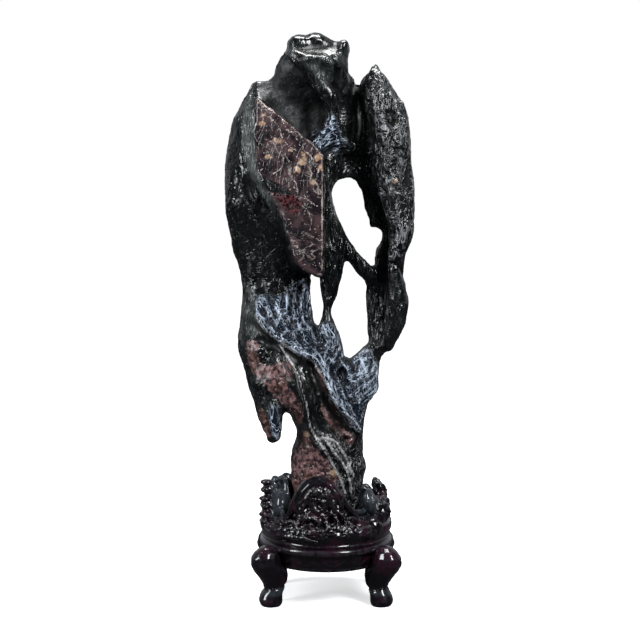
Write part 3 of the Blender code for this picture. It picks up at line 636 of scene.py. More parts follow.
def paint_rock(p):
    spots = p[:, [0, 2]]
    front = front_of(normals_of(rock.data))
    behind = (1 - front) * 6

    def patch(outlines):
        depth = np.full(len(p), -DEEPEST)
        for outline in outlines:
            depth = np.maximum(depth, outline_depth(spots, outline))
        return np.clip(depth, -DEEPEST, DEEPEST) - behind

    def away_from(lines, farthest=DEEPEST):
        away = np.full(len(p), 60.0)
        for line in lines:
            away = np.minimum(away, line_distance(spots, smooth_through(line, 4)))
        return np.clip(away, 0, farthest)

    belongs = np.abs(p[:, 1] - leaf_plane(p)) < LEAF_REACH
    leaf = np.where(belongs, outline_depth(spots, LEAF_OUTLINE), -6)
    keep_value(rock, "leaf_depth", np.clip(leaf, -6, 6))
    for name, outlines in (("pink", PINK), ("red", [RED_PATCH]), ("wedge", [WEDGE]), ("blue", BLUISH)):
        keep_value(rock, name + "_depth", patch(outlines))
    spot_depth = np.max([r - np.hypot(spots[:, 0] - x, spots[:, 1] - z) for x, z, r in OCHRE], axis=0)
    keep_value(rock, "ochre_depth", np.clip(spot_depth, -DEEPEST, DEEPEST) - behind)
    keep_value(rock, "vein_away", away_from(VEINS) + behind)
    keep_value(rock, "thread_away", away_from(THREADS) + behind)
    keep_value(rock, "flow", away_from(GUIDES, 60.0) / MM)
    # paler planes, and painted shade where the tone is below zero
    plane_tone_and_shade = np.zeros(len(p))
    for outline, tone in PALE_PLANES_AND_SHADE:
        share = tone * ease(outline_depth(spots, outline), -2.5, 3.0)
        plane_tone_and_shade = np.where(np.abs(share) > np.abs(plane_tone_and_shade), share, plane_tone_and_shade)
    keep_value(rock, "plane_tone_and_shade", plane_tone_and_shade * front)


paint_rock(rock_points)
stands_out = measure_heights(rock, rock_points, 10, 0.8)
print("ridges stand out by up to", round(float(stands_out.max()), 2), "mm")

# %% [markdown]
# Every finish is a tree of nodes, and a small class adds them in one line each. Both finishes
# need the same two effects, so each is a node group built once. The first turns a depth inside an
# outline into a mask with a ragged border. The second is crinkle: small crossing ridges whose
# size, stretch and sharpness are inputs.

# %% Node helpers and shared node groups
class Nodes:
    """Adds nodes to one tree. A value is either a number for an input or a socket that feeds it."""

    def __init__(self, tree, place=None):
        self.tree = tree
        self.place = place  # the texture coordinates that patterns use

    def feed(self, socket, value):
        if isinstance(value, bpy.types.NodeSocket):
            self.tree.links.new(value, socket)
        else:
            socket.default_value = value

    def set(self, node, values):
        for name, value in values.items():
            self.feed(node.inputs[name], value)
        return node

    def add(self, kind, values=None, **settings):
        made = self.tree.nodes.new(kind)
        for name, value in settings.items():
            setattr(made, name, value)
        return self.set(made, values or {})

    def math(self, operation, *values, clamp=False):
        made = self.add("ShaderNodeMath", operation=operation, use_clamp=clamp)
        return self.set(made, dict(enumerate(values))).outputs[0]

    def times(self, *values):
        return reduce(lambda a, b: self.math("MULTIPLY", a, b), values)

    def plus(self, *values):
        return reduce(lambda a, b: self.math("ADD", a, b), values)

    def largest(self, *values):
        return reduce(lambda a, b: self.math("MAXIMUM", a, b), values)

    def blend(self, share, a, b, how="MIX"):
        """Colour a where share is 0 and colour b where it is 1."""
        made = self.add("ShaderNodeMix", data_type="RGBA", blend_type=how, clamp_factor=True)
        for name, value in (("Factor", share), ("A", a), ("B", b)):
            self.feed(next(s for s in made.inputs if s.name == name and s.enabled), value)
        return next(s for s in made.outputs if s.enabled)

    def spread(self, value, low, high, to_low=0.0, to_high=1.0):
        """The value mapped from one range to another, and held at its ends."""
        values = {"Value": value, "From Min": low, "From Max": high, "To Min": to_low, "To Max": to_high}
        return self.add("ShaderNodeMapRange", values, clamp=True, interpolation_type="SMOOTHSTEP").outputs[0]

    def attribute(self, name):
        return self.add("ShaderNodeAttribute", attribute_name=name).outputs["Fac"]

    def noise(self, scale, detail=3.0):
        values = {"Vector": self.place, "Scale": scale, "Detail": detail, "Roughness": 0.6}
        return self.add("ShaderNodeTexNoise", values).outputs["Fac"]

    def grain(self, scale, detail, low, high, to_low=0.0, to_high=1.0):
        """Noise mapped from the range between two of its levels."""
        return self.spread(self.noise(scale, detail), low, high, to_low, to_high)

    def ragged(self, depth, ragged, size, soft=1.0):
        """A mask that is 1 where the depth is above 0, with a border that noise makes ragged."""
        values = {"Depth": depth, "Place": self.place, "Ragged": ragged, "Size": size, "Soft": soft}
        return self.add("ShaderNodeGroup", values, node_tree=ragged_edge).outputs["Mask"]

    def ridges(self, size, stretch=(1, 1, 1), detail=1.0, sharpness=5.0, place=None):
        values = {"Place": place or self.place, "Size": size, "Stretch": stretch, "Detail": detail,
                  "Sharpness": sharpness}
        return self.add("ShaderNodeGroup", values, node_tree=crinkle_group).outputs["Ridge"]

    def bump(self, height, distance):
        values = {"Height": height, "Strength": 1.0, "Distance": distance}
        return self.add("ShaderNodeBump", values).outputs["Normal"]


def new_tree(name, kind, inputs, outputs):
    """A node tree with its sockets: inputs are (name, type, value) and outputs (name, type)."""
    tree = bpy.data.node_groups.new(name, kind)
    for label, type_name, value in inputs:
        socket = tree.interface.new_socket(label, in_out="INPUT", socket_type="NodeSocket" + type_name)
        if value is not None:
            socket.default_value = value
    for label, type_name in outputs:
        tree.interface.new_socket(label, in_out="OUTPUT", socket_type="NodeSocket" + type_name)
    given = tree.nodes.new("NodeGroupInput").outputs
    return Nodes(tree), given, tree.nodes.new("NodeGroupOutput").inputs


def build_ragged_edge():
    n, given, out = new_tree("ragged_edge", "ShaderNodeTree", [
        ("Depth", "Float", 0.0), ("Place", "Vector", None), ("Ragged", "Float", 2.0),
        ("Size", "Float", 300.0), ("Soft", "Float", 0.8),
    ], [("Mask", "Float")])
    rough = n.add("ShaderNodeTexNoise", {"Vector": given["Place"], "Scale": given["Size"], "Detail": 4.0,
                                         "Roughness": 0.65})
    shift = n.times(n.math("SUBTRACT", rough.outputs["Fac"], 0.5), given["Ragged"])
    depth = n.math("DIVIDE", n.plus(given["Depth"], shift), given["Soft"])
    n.feed(out["Mask"], n.math("ADD", depth, 0.5, clamp=True))
    return n.tree


def build_crinkle():
    n, given, out = new_tree("crinkle", "ShaderNodeTree", [
        ("Place", "Vector", None), ("Size", "Float", 150.0), ("Stretch", "Vector", None),
        ("Detail", "Float", 1.0), ("Sharpness", "Float", 5.0),
    ], [("Ridge", "Float")])
    place = n.add("ShaderNodeVectorMath", operation="MULTIPLY")
    n.set(place, {0: given["Place"], 1: given["Stretch"]})
    wave = n.add("ShaderNodeTexNoise", {"Vector": place.outputs[0], "Scale": given["Size"],
                                        "Detail": given["Detail"], "Roughness": 0.5, "Distortion": 0.6})
    off = n.math("ABSOLUTE", n.math("SUBTRACT", wave.outputs["Fac"], 0.5))
    off = n.times(off, given["Sharpness"])
    n.feed(out["Ridge"], n.math("SUBTRACT", 1.0, off, clamp=True))
    return n.tree


ragged_edge = build_ragged_edge()
crinkle_group = build_crinkle()
print("node groups:", [g.name for g in bpy.data.node_groups])

# %% [markdown]
# The stone's finish is one dark, waxed body colour that drifts between black, green-grey and blue,
# with the patches laid over it, painted highlights on its ridges and painted shade in its hollows
# and recesses. The wax is the shader's own gloss: fairly low roughness, rougher in the hollows.

# %% The stone's finish
def new_material(name):
    material = bpy.data.materials.new(name)
    material.use_nodes = True
    n = Nodes(material.node_tree)
    n.place = n.add("ShaderNodeTexCoord").outputs["Object"]
    return material, n, n.tree.nodes["Principled BSDF"]


def make_stone():
    material, n, shader = new_material("waxed_stone")
    out, crinkle, pitted, streaky, plane_tone_and_shade, vein_away, thread_away = map(
        n.attribute, ("stands_out", "crinkle", "pitted", "streaky", "plane_tone_and_shade", "vein_away", "thread_away"))

    def patch(name, ragged, size, soft=1.0):
        return n.ragged(n.attribute(name + "_depth"), ragged, size, soft)

    # ridge patterns and pits, which both the colour and the relief use
    skin = n.ridges(120.0, (1, 1, 0.6), 2.0)
    fine = n.ridges(180.0, (1, 1, 0.75), 1.5, 14.0)
    streaks = n.ridges(300.0, (1, 1, 0.16))
    split = n.add("ShaderNodeSeparateXYZ", {0: n.place})
    along = n.add("ShaderNodeCombineXYZ", {
        "X": n.attribute("flow"), "Y": n.times(split.outputs["X"], 0.15),
        "Z": n.times(split.outputs["Z"], 0.15),
    }).outputs[0]
    flow = n.ridges(340.0, (1, 1, 1), 1.5, 11.0, along)
    pits = n.add("ShaderNodeTexVoronoi", {"Vector": n.place, "Scale": 300.0}, feature="SMOOTH_F1")
    pits = n.spread(pits.outputs["Distance"], 0.1, 0.45)

    # the body: black to green-grey, paler planes and painted shade in recesses, blue patches
    # with painted highlights on their ridges, and pale specks that are partly painted glints
    body = n.blend(n.grain(30.0, 3.0, 0.35, 0.7), (0.0014, 0.0020, 0.0022, 1), (0.0060, 0.0080, 0.0070, 1))
    washed = n.blend(n.spread(streaks, 0.1, 0.9), (0.011, 0.013, 0.0125, 1), (0.046, 0.053, 0.051, 1))
    body = n.blend(n.spread(plane_tone_and_shade, 0.0, 1.0), body, washed)
    # painted shade: where the tone is below zero, the body goes nearly black
    body = n.blend(n.spread(plane_tone_and_shade, -1.0, 0.0, 0.8, 0.0), body, (0.0010, 0.0016, 0.0018, 1))
    blue = patch("blue", 9.0, 130.0, 3.0)
    body = n.blend(blue, body, (0.0050, 0.0105, 0.0230, 1))
    lined = n.largest(n.times(blue, 0.9), n.times(crinkle, 0.3))
    # painted highlights: pale lines on the ridges, brightest where the stone stands out
    ridge_highlights = n.largest(n.times(n.spread(flow, 0.45, 0.95), blue),
                       n.times(n.spread(skin, 0.86, 0.99), n.times(crinkle, 0.8)),
                       n.times(n.spread(fine, 0.40, 0.95), lined))
    crest_highlight = n.times(ridge_highlights, n.spread(out, -0.35, 0.5, 0.15, 1.0))
    body = n.blend(crest_highlight, body, n.blend(blue, (0.36, 0.36, 0.38, 1), (0.62, 0.71, 0.85, 1)))
    # pale specks in the pitted hollows, partly grains of stone and partly painted glints
    specks_and_glints = n.times(n.grain(620.0, 1.0, 0.66, 0.74), n.spread(pitted, 0.2, 0.8))
    body = n.blend(n.times(specks_and_glints, 0.7), body, (0.17, 0.18, 0.14, 1))

    # the pink patches, with rusty clouds and pale grains that are painted glints
    pink_tone = n.blend(n.grain(300.0, 4.0, 0.42, 0.60), (0.013, 0.007, 0.008, 1), (0.250, 0.132, 0.130, 1))
    pink_tone = n.blend(n.times(n.grain(40.0, 2.0, 0.5, 0.62), 0.4), pink_tone, (0.12, 0.055, 0.034, 1))
    # painted glints: pale grains over the pink
    pink_tone = n.blend(n.times(n.grain(540.0, 1.0, 0.64, 0.72), 0.8), pink_tone, (0.52, 0.42, 0.41, 1))
    pink = patch("pink", 6.0, 260.0)
    body = n.blend(pink, body, pink_tone)

    # the copper-red leaf, with threads, fine hairs, specks that are partly painted glints, a red
    # patch and a dark wedge
    copper = n.blend(n.grain(110.0, 5.0, 0.38, 0.66), (0.010, 0.0070, 0.0095, 1), (0.072, 0.043, 0.046, 1))
    thread = n.ragged(n.math("SUBTRACT", 0.30, thread_away), 1.5, 260.0, 0.6)
    hairs = n.spread(n.ridges(95.0, (0.7, 1, 1.3), 4.0, 9.0), 0.82, 0.97)
    hairs = n.times(hairs, n.grain(60.0, 2.0, 0.48, 0.64))
    thread = n.largest(thread, n.times(hairs, 0.6))
    copper = n.blend(thread, copper, (0.48, 0.38, 0.34, 1))
    # pale specks on the leaf, partly painted glints
    copper = n.blend(n.times(n.grain(620.0, 1.0, 0.68, 0.74), 0.9), copper, (0.46, 0.38, 0.35, 1))
    red_tone = n.blend(n.grain(560.0, 1.0, 0.44, 0.56), (0.008, 0.003, 0.004, 1), (0.095, 0.028, 0.032, 1))
    copper = n.blend(patch("red", 6.0, 300.0), copper, red_tone)
    copper = n.blend(patch("wedge", 2.0, 400.0), copper, (0.006, 0.007, 0.007, 1))
    leaf = patch("leaf", 1.2, 420.0, 0.5)
    body = n.blend(leaf, body, copper)

    # ochre spots and white veins over everything, and painted shade in the hollows
    ochre = n.blend(n.grain(500.0, 2.0, 0.35, 0.65), (0.30, 0.17, 0.10, 1), (0.50, 0.36, 0.27, 1))
    body = n.blend(patch("ochre", 8.0, 330.0), body, ochre)
    vein = n.ragged(n.math("SUBTRACT", 0.6, vein_away), 2.0, 280.0, 0.9)
    beside = n.times(n.spread(vein_away, 1.5, 5.5, 0.55, 0.0), n.spread(flow, 0.88, 0.99))
    vein = n.largest(n.times(vein, n.spread(flow, 0.3, 0.8, 0.7, 1.0)), beside)
    body = n.blend(vein, body, (0.58, 0.56, 0.56, 1))
    # painted shade: what lies deep is darkened
    shade = n.spread(out, -0.8, 0.05, 0.2, 1.0)
    dark = n.add("ShaderNodeCombineColor", {0: shade, 1: shade, 2: shade}).outputs[0]
    body = n.blend(1.0, body, dark, "MULTIPLY")

    rough = n.plus(n.grain(120.0, 3.0, 0.3, 0.7, 0.13, 0.30), n.spread(out, -0.7, 0.0, 0.2, 0.0),
                   n.times(pink, 0.15), n.spread(plane_tone_and_shade, 0.1, 0.8, 0.0, 0.16),
                   n.spread(plane_tone_and_shade, -0.98, -0.84, 0.36, 0.0))
    calm = n.spread(n.math("ABSOLUTE", plane_tone_and_shade), 0.1, 0.8, 1.0, 0.45)
    brushed = n.largest(streaky, n.spread(plane_tone_and_shade, 0.0, 0.8, 0.0, 0.5))
    height = n.plus(n.times(skin, n.times(n.spread(crinkle, 0.1, 0.9, 0.07, 1.0), calm)),
                    n.times(flow, n.spread(blue, 0.0, 1.0, 0.04, 0.9)),
                    n.times(fine, lined, 0.35),
                    n.times(streaks, brushed, 0.7),
                    n.times(pits, n.times(pitted, calm), 0.14),
                    n.times(thread, leaf, 0.2))
    n.set(shader, {"Base Color": body, "Roughness": rough, "Normal": n.bump(height, 0.0020),
                   "IOR": 1.55, "Specular IOR Level": 0.42})
    return material


stone = make_stone()
rock.data.materials.append(stone)
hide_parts("rock")
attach(rock, "root")

# %% [markdown]
# The lower half of the stand was turned on a lathe: an apron, a bead like a thin tyre, a cove and
# a rounded drum. A turned shape is a profile carried round an axis, so it is built from rings of
# points. The apron gets more rings than the rest, because a shallow band of leaf scrolls is
# carved in it, and so does the drum, because leaves of the crest hang down over its front. The
# socket in the top is oval, to the shape of the rock's foot.

# %% The turned block
TURNED_PROFILE = [
    # (radius, height) from the middle of the underside, out and up
    (0, 38), (34.6, 38), (35.2, 37.4), (36.2, 29.2), (36.9, 28.5), (42.5, 28.4), (43.5, 28.9), (44.0, 30.2),
    (44.5, 33), (45.0, 36.4), (45.3, 39.2), (45.9, 40.0), (47.9, 40.4), (48.7, 41.2), (49.0, 42.6),
    (48.8, 44.0), (48.0, 44.8), (47.0, 45.2), (46.6, 45.8), (46.9, 46.4), (47.6, 46.8), (47.7, 47.4),
    (47.0, 48.0), (46.9, 49.0), (47.6, 50.6), (48.4, 52.6), (48.7, 55.0), (48.3, 57.4), (47.0, 59.1),
    (44.6, 60.0), (32, 60.0),
]
SOCKET_CENTRE = (0.6, -0.1)
SOCKET_RADII = (23.8, 19.1)
ROUND_STEPS = 288
SCROLL_HEIGHT, SCROLL_WAVES = 34.6, 14


def finer(profile, low, high, rows):
    """The profile with extra points on its outer wall between two heights."""
    made = []
    for (ra, za), (rb, zb) in zip(profile, profile[1:]):
        made.append((ra, za))
        if ra > 40 and za >= low and zb <= high and zb > za:
            made += [(ra + (rb - ra) * k / rows, za + (zb - za) * k / rows) for k in range(1, rows)]
    return made + [profile[-1]]


def mesh_object(name, points, faces):
    mesh = bpy.data.meshes.new(name)
    mesh.from_pydata(np.asarray(points, float).tolist(), [], faces)
    return placed(name, mesh)


def ring_mesh(name, rings):
    """A closed mesh through rings of equally many points, from one middle point to another."""
    points = [rings[0][0], *(spot for ring in rings[1:-1] for spot in ring), rings[-1][0]]
    faces = []
    n = ROUND_STEPS
    for k in range(n):
        j = (k + 1) % n
        faces.append((0, 1 + j, 1 + k))
        for r in range(len(rings) - 3):
            base = 1 + r * n
            faces.append((base + k, base + j, base + n + j, base + n + k))
        base = 1 + (len(rings) - 3) * n
        faces.append((base + k, base + j, len(points) - 1))
    obj = mesh_object(name, to_frame(np.array(points, float)), faces)
    with edited(obj.data) as work:
        bmesh.ops.recalc_face_normals(work, faces=work.faces)
    return obj


def make_turned_block():
    turns = np.linspace(0, 2 * math.pi, ROUND_STEPS, endpoint=False)

    def ring(centre, radii, height):
        x, y = (c + r * turn(turns) for c, r, turn in zip(centre, radii, (np.cos, np.sin)))
        return np.stack([x, y, np.full(ROUND_STEPS, height)], 1)

    profile = finer(finer(TURNED_PROFILE, 30, 39.3, 6), 48.9, 59.2, 4)
    rings = [ring((0, 0), (radius, radius), height) for radius, height in profile]
    for share, height in ((1.06, 60.0), (1.0, 59.4), (1.0, 54.0), (0.5, 54.0), (0.0, 54.0)):
        rings.append(ring(SOCKET_CENTRE, np.array(SOCKET_RADII) * share, height))
    block = ring_mesh("stand_turned", rings)
    p = drawn_points(block)
    around = np.hypot(p[:, 0], p[:, 1])
    angle = np.arctan2(p[:, 1], p[:, 0])
    outward = np.stack([np.cos(angle), np.sin(angle), 0 * angle], 1)
    band = (around > 43.2) * ease(p[:, 2], 30.4, 31.6) * (1 - ease(p[:, 2], 37.6, 38.8))
    wave = np.sin(SCROLL_WAVES * angle) * 2.0
    up = p[:, 2] - SCROLL_HEIGHT
    scroll = np.exp(-(((up - wave) / 0.75) ** 2))
    leaf = np.exp(-(((up + 0.6 * wave) / 1.4) ** 2)) * ease(np.abs(np.sin(SCROLL_WAVES * angle)), 0.5, 1)
    carve = band * (0.45 * scroll + 0.3 * leaf - 0.25)
    wobble = 0.08 * uneven(p, 14, 2)
    leaf_tips = 53.0 + 3.0 * uneven(p, 9, 1)
    hanging = (around > 44) * ease(-np.sin(angle), 0.45, 0.8) * ease(p[:, 2], leaf_tips, leaf_tips + 1.2)
    carve += hanging * (0.75 * ease(ridged(p, 5.0, 2), 0.6, 1.3) - 0.15)
    p = p + outward * (np.minimum(carve, 0.5) + wobble * (around > 35) - 0.1 * (around > 35))[:, None]
    move_points(block.data, to_frame(p))
    keep_value(block, "carved", hanging)
    block.data.shade_smooth()
    block.data.set_sharp_from_angle(angle=math.radians(50))
    return block


block = make_turned_block()
print("stand_turned has", len(block.data.polygons), "faces")

# %% [markdown]
# The crest above it was carved from the same wood: a hooded dome with leaves and holes in it,
# stacked buds, a petal behind, a smooth lip round the rock's foot, and a belt of scrolls and
# twigs. The blanks are eggs and stems. Stems follow a path, so a geometry-nodes tree sweeps a
# circle along a curve that gives its own thickness. A second tree repeats one volute round the
# drum.

# %% Geometry nodes: stems along paths, and a belt of volutes
SHAPE_IN, WOOD_IN = ("Geometry", "Geometry", None), ("Material", "Material", None)
SHAPE_OUT = ("Geometry", "Geometry")


def finish_tree(n, geometry, given, out):
    whole = n.add("GeometryNodeRealizeInstances", {"Geometry": geometry}).outputs[0]
    coated = n.add("GeometryNodeSetMaterial", {"Geometry": whole, "Material": given["Material"]})
    n.feed(out["Geometry"], coated.outputs[0])
    return n.tree


def swept(n, path, scale, sides):
    """A round bar along a path, as thick as the scale says."""
    circle = n.add("GeometryNodeCurvePrimitiveCircle", {"Resolution": sides, "Radius": 1.0}).outputs["Curve"]
    values = {"Curve": path, "Profile Curve": circle, "Scale": scale, "Fill Caps": True}
    return n.add("GeometryNodeCurveToMesh", values).outputs[0]


def stem_tree():
    n, given, out = new_tree("stems", "GeometryNodeTree", [
        SHAPE_IN, ("Sides", "Int", 10), WOOD_IN,
    ], [SHAPE_OUT])
    thickness = n.add("GeometryNodeInputRadius").outputs[0]
    path = n.add("GeometryNodeResampleCurve", {"Curve": given["Geometry"], "Length": 0.0007}, mode="LENGTH")
    return finish_tree(n, swept(n, path.outputs[0], thickness, given["Sides"]), given, out)


def volute_tree():
    n, given, out = new_tree("volute_belt", "GeometryNodeTree", [
        SHAPE_IN, ("Count", "Int", 12), ("Ring Radius", "Float", 0.045), ("Volute Radius", "Float", 0.005),
        ("Thickness", "Float", 0.0012), WOOD_IN,
    ], [SHAPE_OUT])
    turned = n.add("GeometryNodeCurveSpiral", {
        "Resolution": 24, "Rotations": 1.6, "Start Radius": 0.0014, "End Radius": given["Volute Radius"],
        "Height": 0.0,
    })
    one = swept(n, turned.outputs[0], given["Thickness"], 8)
    quarter = math.radians(90)
    upright = n.add("GeometryNodeTransform", {"Geometry": one, "Rotation": (quarter, 0, quarter)})
    ring = n.add("GeometryNodeCurveArc", {
        "Resolution": given["Count"], "Radius": given["Ring Radius"],
        "Start Angle": math.radians(-8), "Sweep Angle": math.radians(196),
    })
    place = n.add("GeometryNodeInputPosition").outputs[0]
    split = n.add("ShaderNodeSeparateXYZ", {0: place})
    angle = n.math("ARCTAN2", split.outputs["Y"], split.outputs["X"])
    facing = n.add("ShaderNodeCombineXYZ", {"Z": angle}).outputs[0]
    many = n.add("GeometryNodeInstanceOnPoints", {"Points": ring.outputs[0], "Instance": upright.outputs[0],
                                                  "Rotation": facing})
    return finish_tree(n, many.outputs[0], given, out)


def run_tree(obj, tree, values):
    """The tree's result as a plain mesh object. Inputs are set by their sockets' identifiers."""
    change = obj.modifiers.new("tree", "NODES")
    change.node_group = tree
    by_name = {item.name: item.identifier for item in tree.interface.items_tree if item.in_out == "INPUT"}
    for name, value in values.items():
        change[by_name[name]] = value
    made = placed(obj.name + "_made", evaluated_mesh(obj))
    bpy.data.objects.remove(obj)
    return made


def grown(rows, times):
    """The rows with x and y scaled, each row by its own number."""
    rows = rows.copy()
    rows[:, :2] *= times[:, None]
    return rows


def on_the_wall(rows, radius=48.1, top=59.0):
    """Moves what hangs below the top of the drum outwards, so that it lies on the drum's wall."""
    around = np.hypot(rows[:, 0], rows[:, 1])
    low = ease(top - rows[:, 2], 0.0, 1.5)
    return grown(rows, 1 + low * (np.maximum(radius / around, 1) - 1))


def stems(paths, wood):
    """One object with a stem along each path. A path is rows of x, y, z and radius in millimetres."""
    curve = bpy.data.curves.new("stems", "CURVE")
    curve.dimensions = "3D"
    for path in paths:
        rows = on_the_wall(smooth_through(path, 8))
        spline = curve.splines.new("POLY")
        spline.points.add(len(rows) - 1)
        for point, (x, y, z, radius) in zip(spline.points, rows):
            point.co = (*to_frame((x, y, z)), 1)
            point.radius = max(radius, 0.15) / MM
    return run_tree(placed("stems", curve), stem_tree(), {"Sides": 10, "Material": wood})


def volutes(count, ring_radius, height, size, thickness, wood):
    start = placed("volutes", bpy.data.meshes.new("volutes"))
    made = run_tree(start, volute_tree(), {
        "Count": count, "Ring Radius": ring_radius / MM, "Volute Radius": size / MM,
        "Thickness": thickness / MM, "Material": wood,
    })
    move_points(made.data, points_of(made.data) + to_frame((0, 0, height)))
    return made


# %% [markdown]
# Each lump of the crest has its place as x, y and height in millimetres, and its half sizes. The
# left stack is a row of flattened buds, one above the other, and the right cluster is a handful
# of eggs covered in scales.

# %% The blanks of the crest
EGGS = [
    # (x, y, z), (half width, half depth, half height), turn about the upright in degrees
    ((-5, -33, 73), (17.5, 7.5, 19.5), 0), ((-4, -37, 64), (17, 6, 7), 0),
    ((-43.5, -3, 85), (4.4, 4.2, 2.6), 10), ((-37.6, 3, 86), (3.0, 4.4, 2.8), 20),
    ((-44.4, -5, 79.8), (3.4, 3.8, 3.0), 0), ((-44.6, -7, 73.4), (4.4, 4.6, 2.3), 0),
    ((-44.0, -9, 68.2), (3.6, 4.6, 2.8), 0), ((-44.2, -11, 62.8), (4.6, 5, 2.7), 0),
    ((-43.0, -15, 58), (5, 5, 3.2), 0), ((-32.5, 8, 71), (4.6, 13, 17), 25),
    ((-29, 14, 74), (4.0, 10, 15), 50), ((-34, -4, 67), (7.5, 13, 12.5), 10),
    ((36.5, 12, 82.4), (2.4, 3.4, 3.6), 0), ((40.5, 9, 80.4), (3.6, 3.4, 2.6), -20),
    ((38, 10, 76), (3.0, 4, 3.2), 0), ((41, 6, 70.5), (4.4, 5.4, 4.6), 0),
    ((43.5, -6, 68.5), (4.0, 7, 7.0), 0), ((41, -14, 66), (5.6, 7, 7.6), 20),
    ((33, -26, 57), (7.6, 7.4, 7.8), -35), ((31, -10, 73), (4.2, 8, 8.6), -20), ((33, -4, 66), (6, 9, 8), 0),
    ((9, 36, 70), (16, 6.4, 16), 0), ((-20, 33, 66), (9, 6, 12), 30), ((30, 27, 66), (8, 6, 12), -40),
]
TWIGS = [
    # the dome's hood, the lip round the foot, the scrolls of the front and its twigs
    [(-27, -26, 62, 2.2), (-24.5, -28, 70, 2.8), (-20, -30, 81, 3.0), (-14.4, -32, 89, 2.9),
     (-6, -33, 92.4, 2.9), (1.5, -32, 90.4, 2.9), (8, -30, 83, 2.8), (13, -29, 75, 2.6),
     (19, -28, 67.6, 2.0), (24, -27, 63, 1.4)],
    [(13, -24, 70.5, 1.6), (19, -22, 66.8, 1.9), (25.5, -17, 65.6, 2.1), (30, -9, 69, 2.0),
     (31.5, 2, 74, 1.8)],
    [(15, -28, 66, 1.2), (21, -26, 63.6, 1.4), (27.5, -21, 62.6, 1.4), (33, -14, 64, 1.2)],
    [(-17, -42, 64.5, 1.1), (-13.5, -43.5, 67.6, 1.5), (-8.5, -44, 66.8, 1.6), (-5, -44.5, 62.5, 1.7),
     (-7.5, -45.5, 58, 1.6), (-12.5, -45, 56.6, 1.5), (-16.6, -44, 59.4, 1.3), (-14.6, -44.6, 62.4, 1.1),
     (-11, -45.4, 62.2, 0.9)],
    [(-29, -38, 62, 1.2), (-25.5, -39.5, 64, 1.5), (-21, -41, 62.4, 1.5), (-20, -42.4, 58.4, 1.4),
     (-23.6, -42, 55.4, 1.3), (-27.4, -40, 56.6, 1.1), (-26.6, -40.6, 59.6, 0.9)],
    [(-47, -6, 57, 1.4), (-45, -14, 61.5, 1.6), (-40, -21.5, 63.4, 1.6), (-34.6, -28, 62.6, 1.7),
     (-30.6, -34, 59.6, 1.5), (-33, -34, 56.4, 1.3), (-38, -28.6, 56, 1.2), (-40, -25.6, 59, 1.0)],
    [(-44, -16, 55, 1.6), (-38, -27, 53.6, 1.7), (-28, -37.5, 53.4, 1.8), (-17, -44, 53.8, 1.7),
     (-9, -46.4, 52.6, 1.9), (-6, -47.4, 50.6, 1.4)],
    [(-4, -42, 70, 1.3), (0, -44, 66.4, 1.4), (1.4, -46, 61.6, 1.3), (-1, -47, 57.4, 1.2),
     (-4, -47, 54.6, 1.0)],
    [(0, -43, 72, 1.3), (5, -43.6, 69.6, 1.3), (7.8, -44.6, 64.8, 1.2), (6, -46.4, 60, 1.2),
     (1.6, -47, 58.6, 1.0)],
    [(4, -40.6, 74, 1.2), (9.4, -41, 70.4, 1.3), (13.4, -41.6, 65.6, 1.2), (17.6, -41.4, 61.4, 1.2),
     (20.6, -40.6, 57.6, 1.0)],
    [(7.6, -44.8, 64.6, 1.2), (12.4, -44, 62.2, 1.2), (16, -43.6, 57.8, 1.2), (12, -45.6, 55, 1.1),
     (6.8, -46.6, 56.6, 1.0)],
    [(13.4, -41.6, 65.6, 1.1), (18.6, -38.6, 66.4, 1.2), (22.6, -36.8, 63, 1.2), (24.4, -37.4, 58.8, 1.1),
     (21, -40.6, 55.6, 1.0)],
    [(1.4, -46, 61.6, 1.0), (4.4, -46.6, 63.6, 0.9), (7.8, -45.4, 61.2, 1.0)],
    [(-30, -28, 62, 2.2), (-31, -22, 66, 2.0), (-32, -14, 68, 1.6), (-30, -8, 70, 1.2)],
    [(36, 16, 76, 1.6), (36, 20, 70, 1.8), (33, 26, 63, 2.0)],
    [(-40, 8, 76, 1.6), (-40, 14, 68, 1.8), (-37, 22, 61, 2.0)],
    [(-6, 41, 66, 1.6), (-2, 42, 76, 1.9), (8, 42, 82, 2.1), (18, 41, 77, 1.9), (24, 39, 66, 1.6)],
    [(2, 44, 61, 1.3), (5, 44.4, 67, 1.4), (11, 44, 68, 1.4), (14, 44, 63, 1.3), (10, 44.8, 60, 1.1),
     (8, 45, 63, 0.9)],
    [(-24, 38, 72, 1.2), (-26, 38, 64, 1.4), (-20, 42, 58, 1.4), (-13, 43, 62, 1.3), (-15, 43, 68, 1.1)],
]


def ball_mesh():
    work = bmesh.new()
    bmesh.ops.create_icosphere(work, subdivisions=4, radius=1.0)
    points = np.array([v.co[:] for v in work.verts])
    faces = [[v.index for v in f.verts] for f in work.faces]
    work.free()
    return points, faces


ball_points, ball_faces = ball_mesh()


def egg_object(centre, radii, turn):
    c, s = math.cos(math.radians(turn)), math.sin(math.radians(turn))
    spots = ball_points * radii @ np.array([[c, s, 0], [-s, c, 0], [0, 0, 1]]) + centre
    return mesh_object("egg", to_frame(spots), ball_faces)


def upper_part(obj, height):
    """Cuts the copy off below a height of the drawing, and closes the cut."""
    level = to_frame((0, 0, height))[2]
    with edited(obj.data) as work:
        whole = work.verts[:] + work.edges[:] + work.faces[:]
        bmesh.ops.bisect_plane(work, geom=whole, plane_co=(0, 0, level), plane_no=(0, 0, 1), clear_inner=True)
        bmesh.ops.holes_fill(work, edges=[e for e in work.edges if e.is_boundary], sides=0)
        bmesh.ops.triangulate(work, faces=[f for f in work.faces if len(f.verts) > 4])
        bmesh.ops.recalc_face_normals(work, faces=work.faces)
    return obj


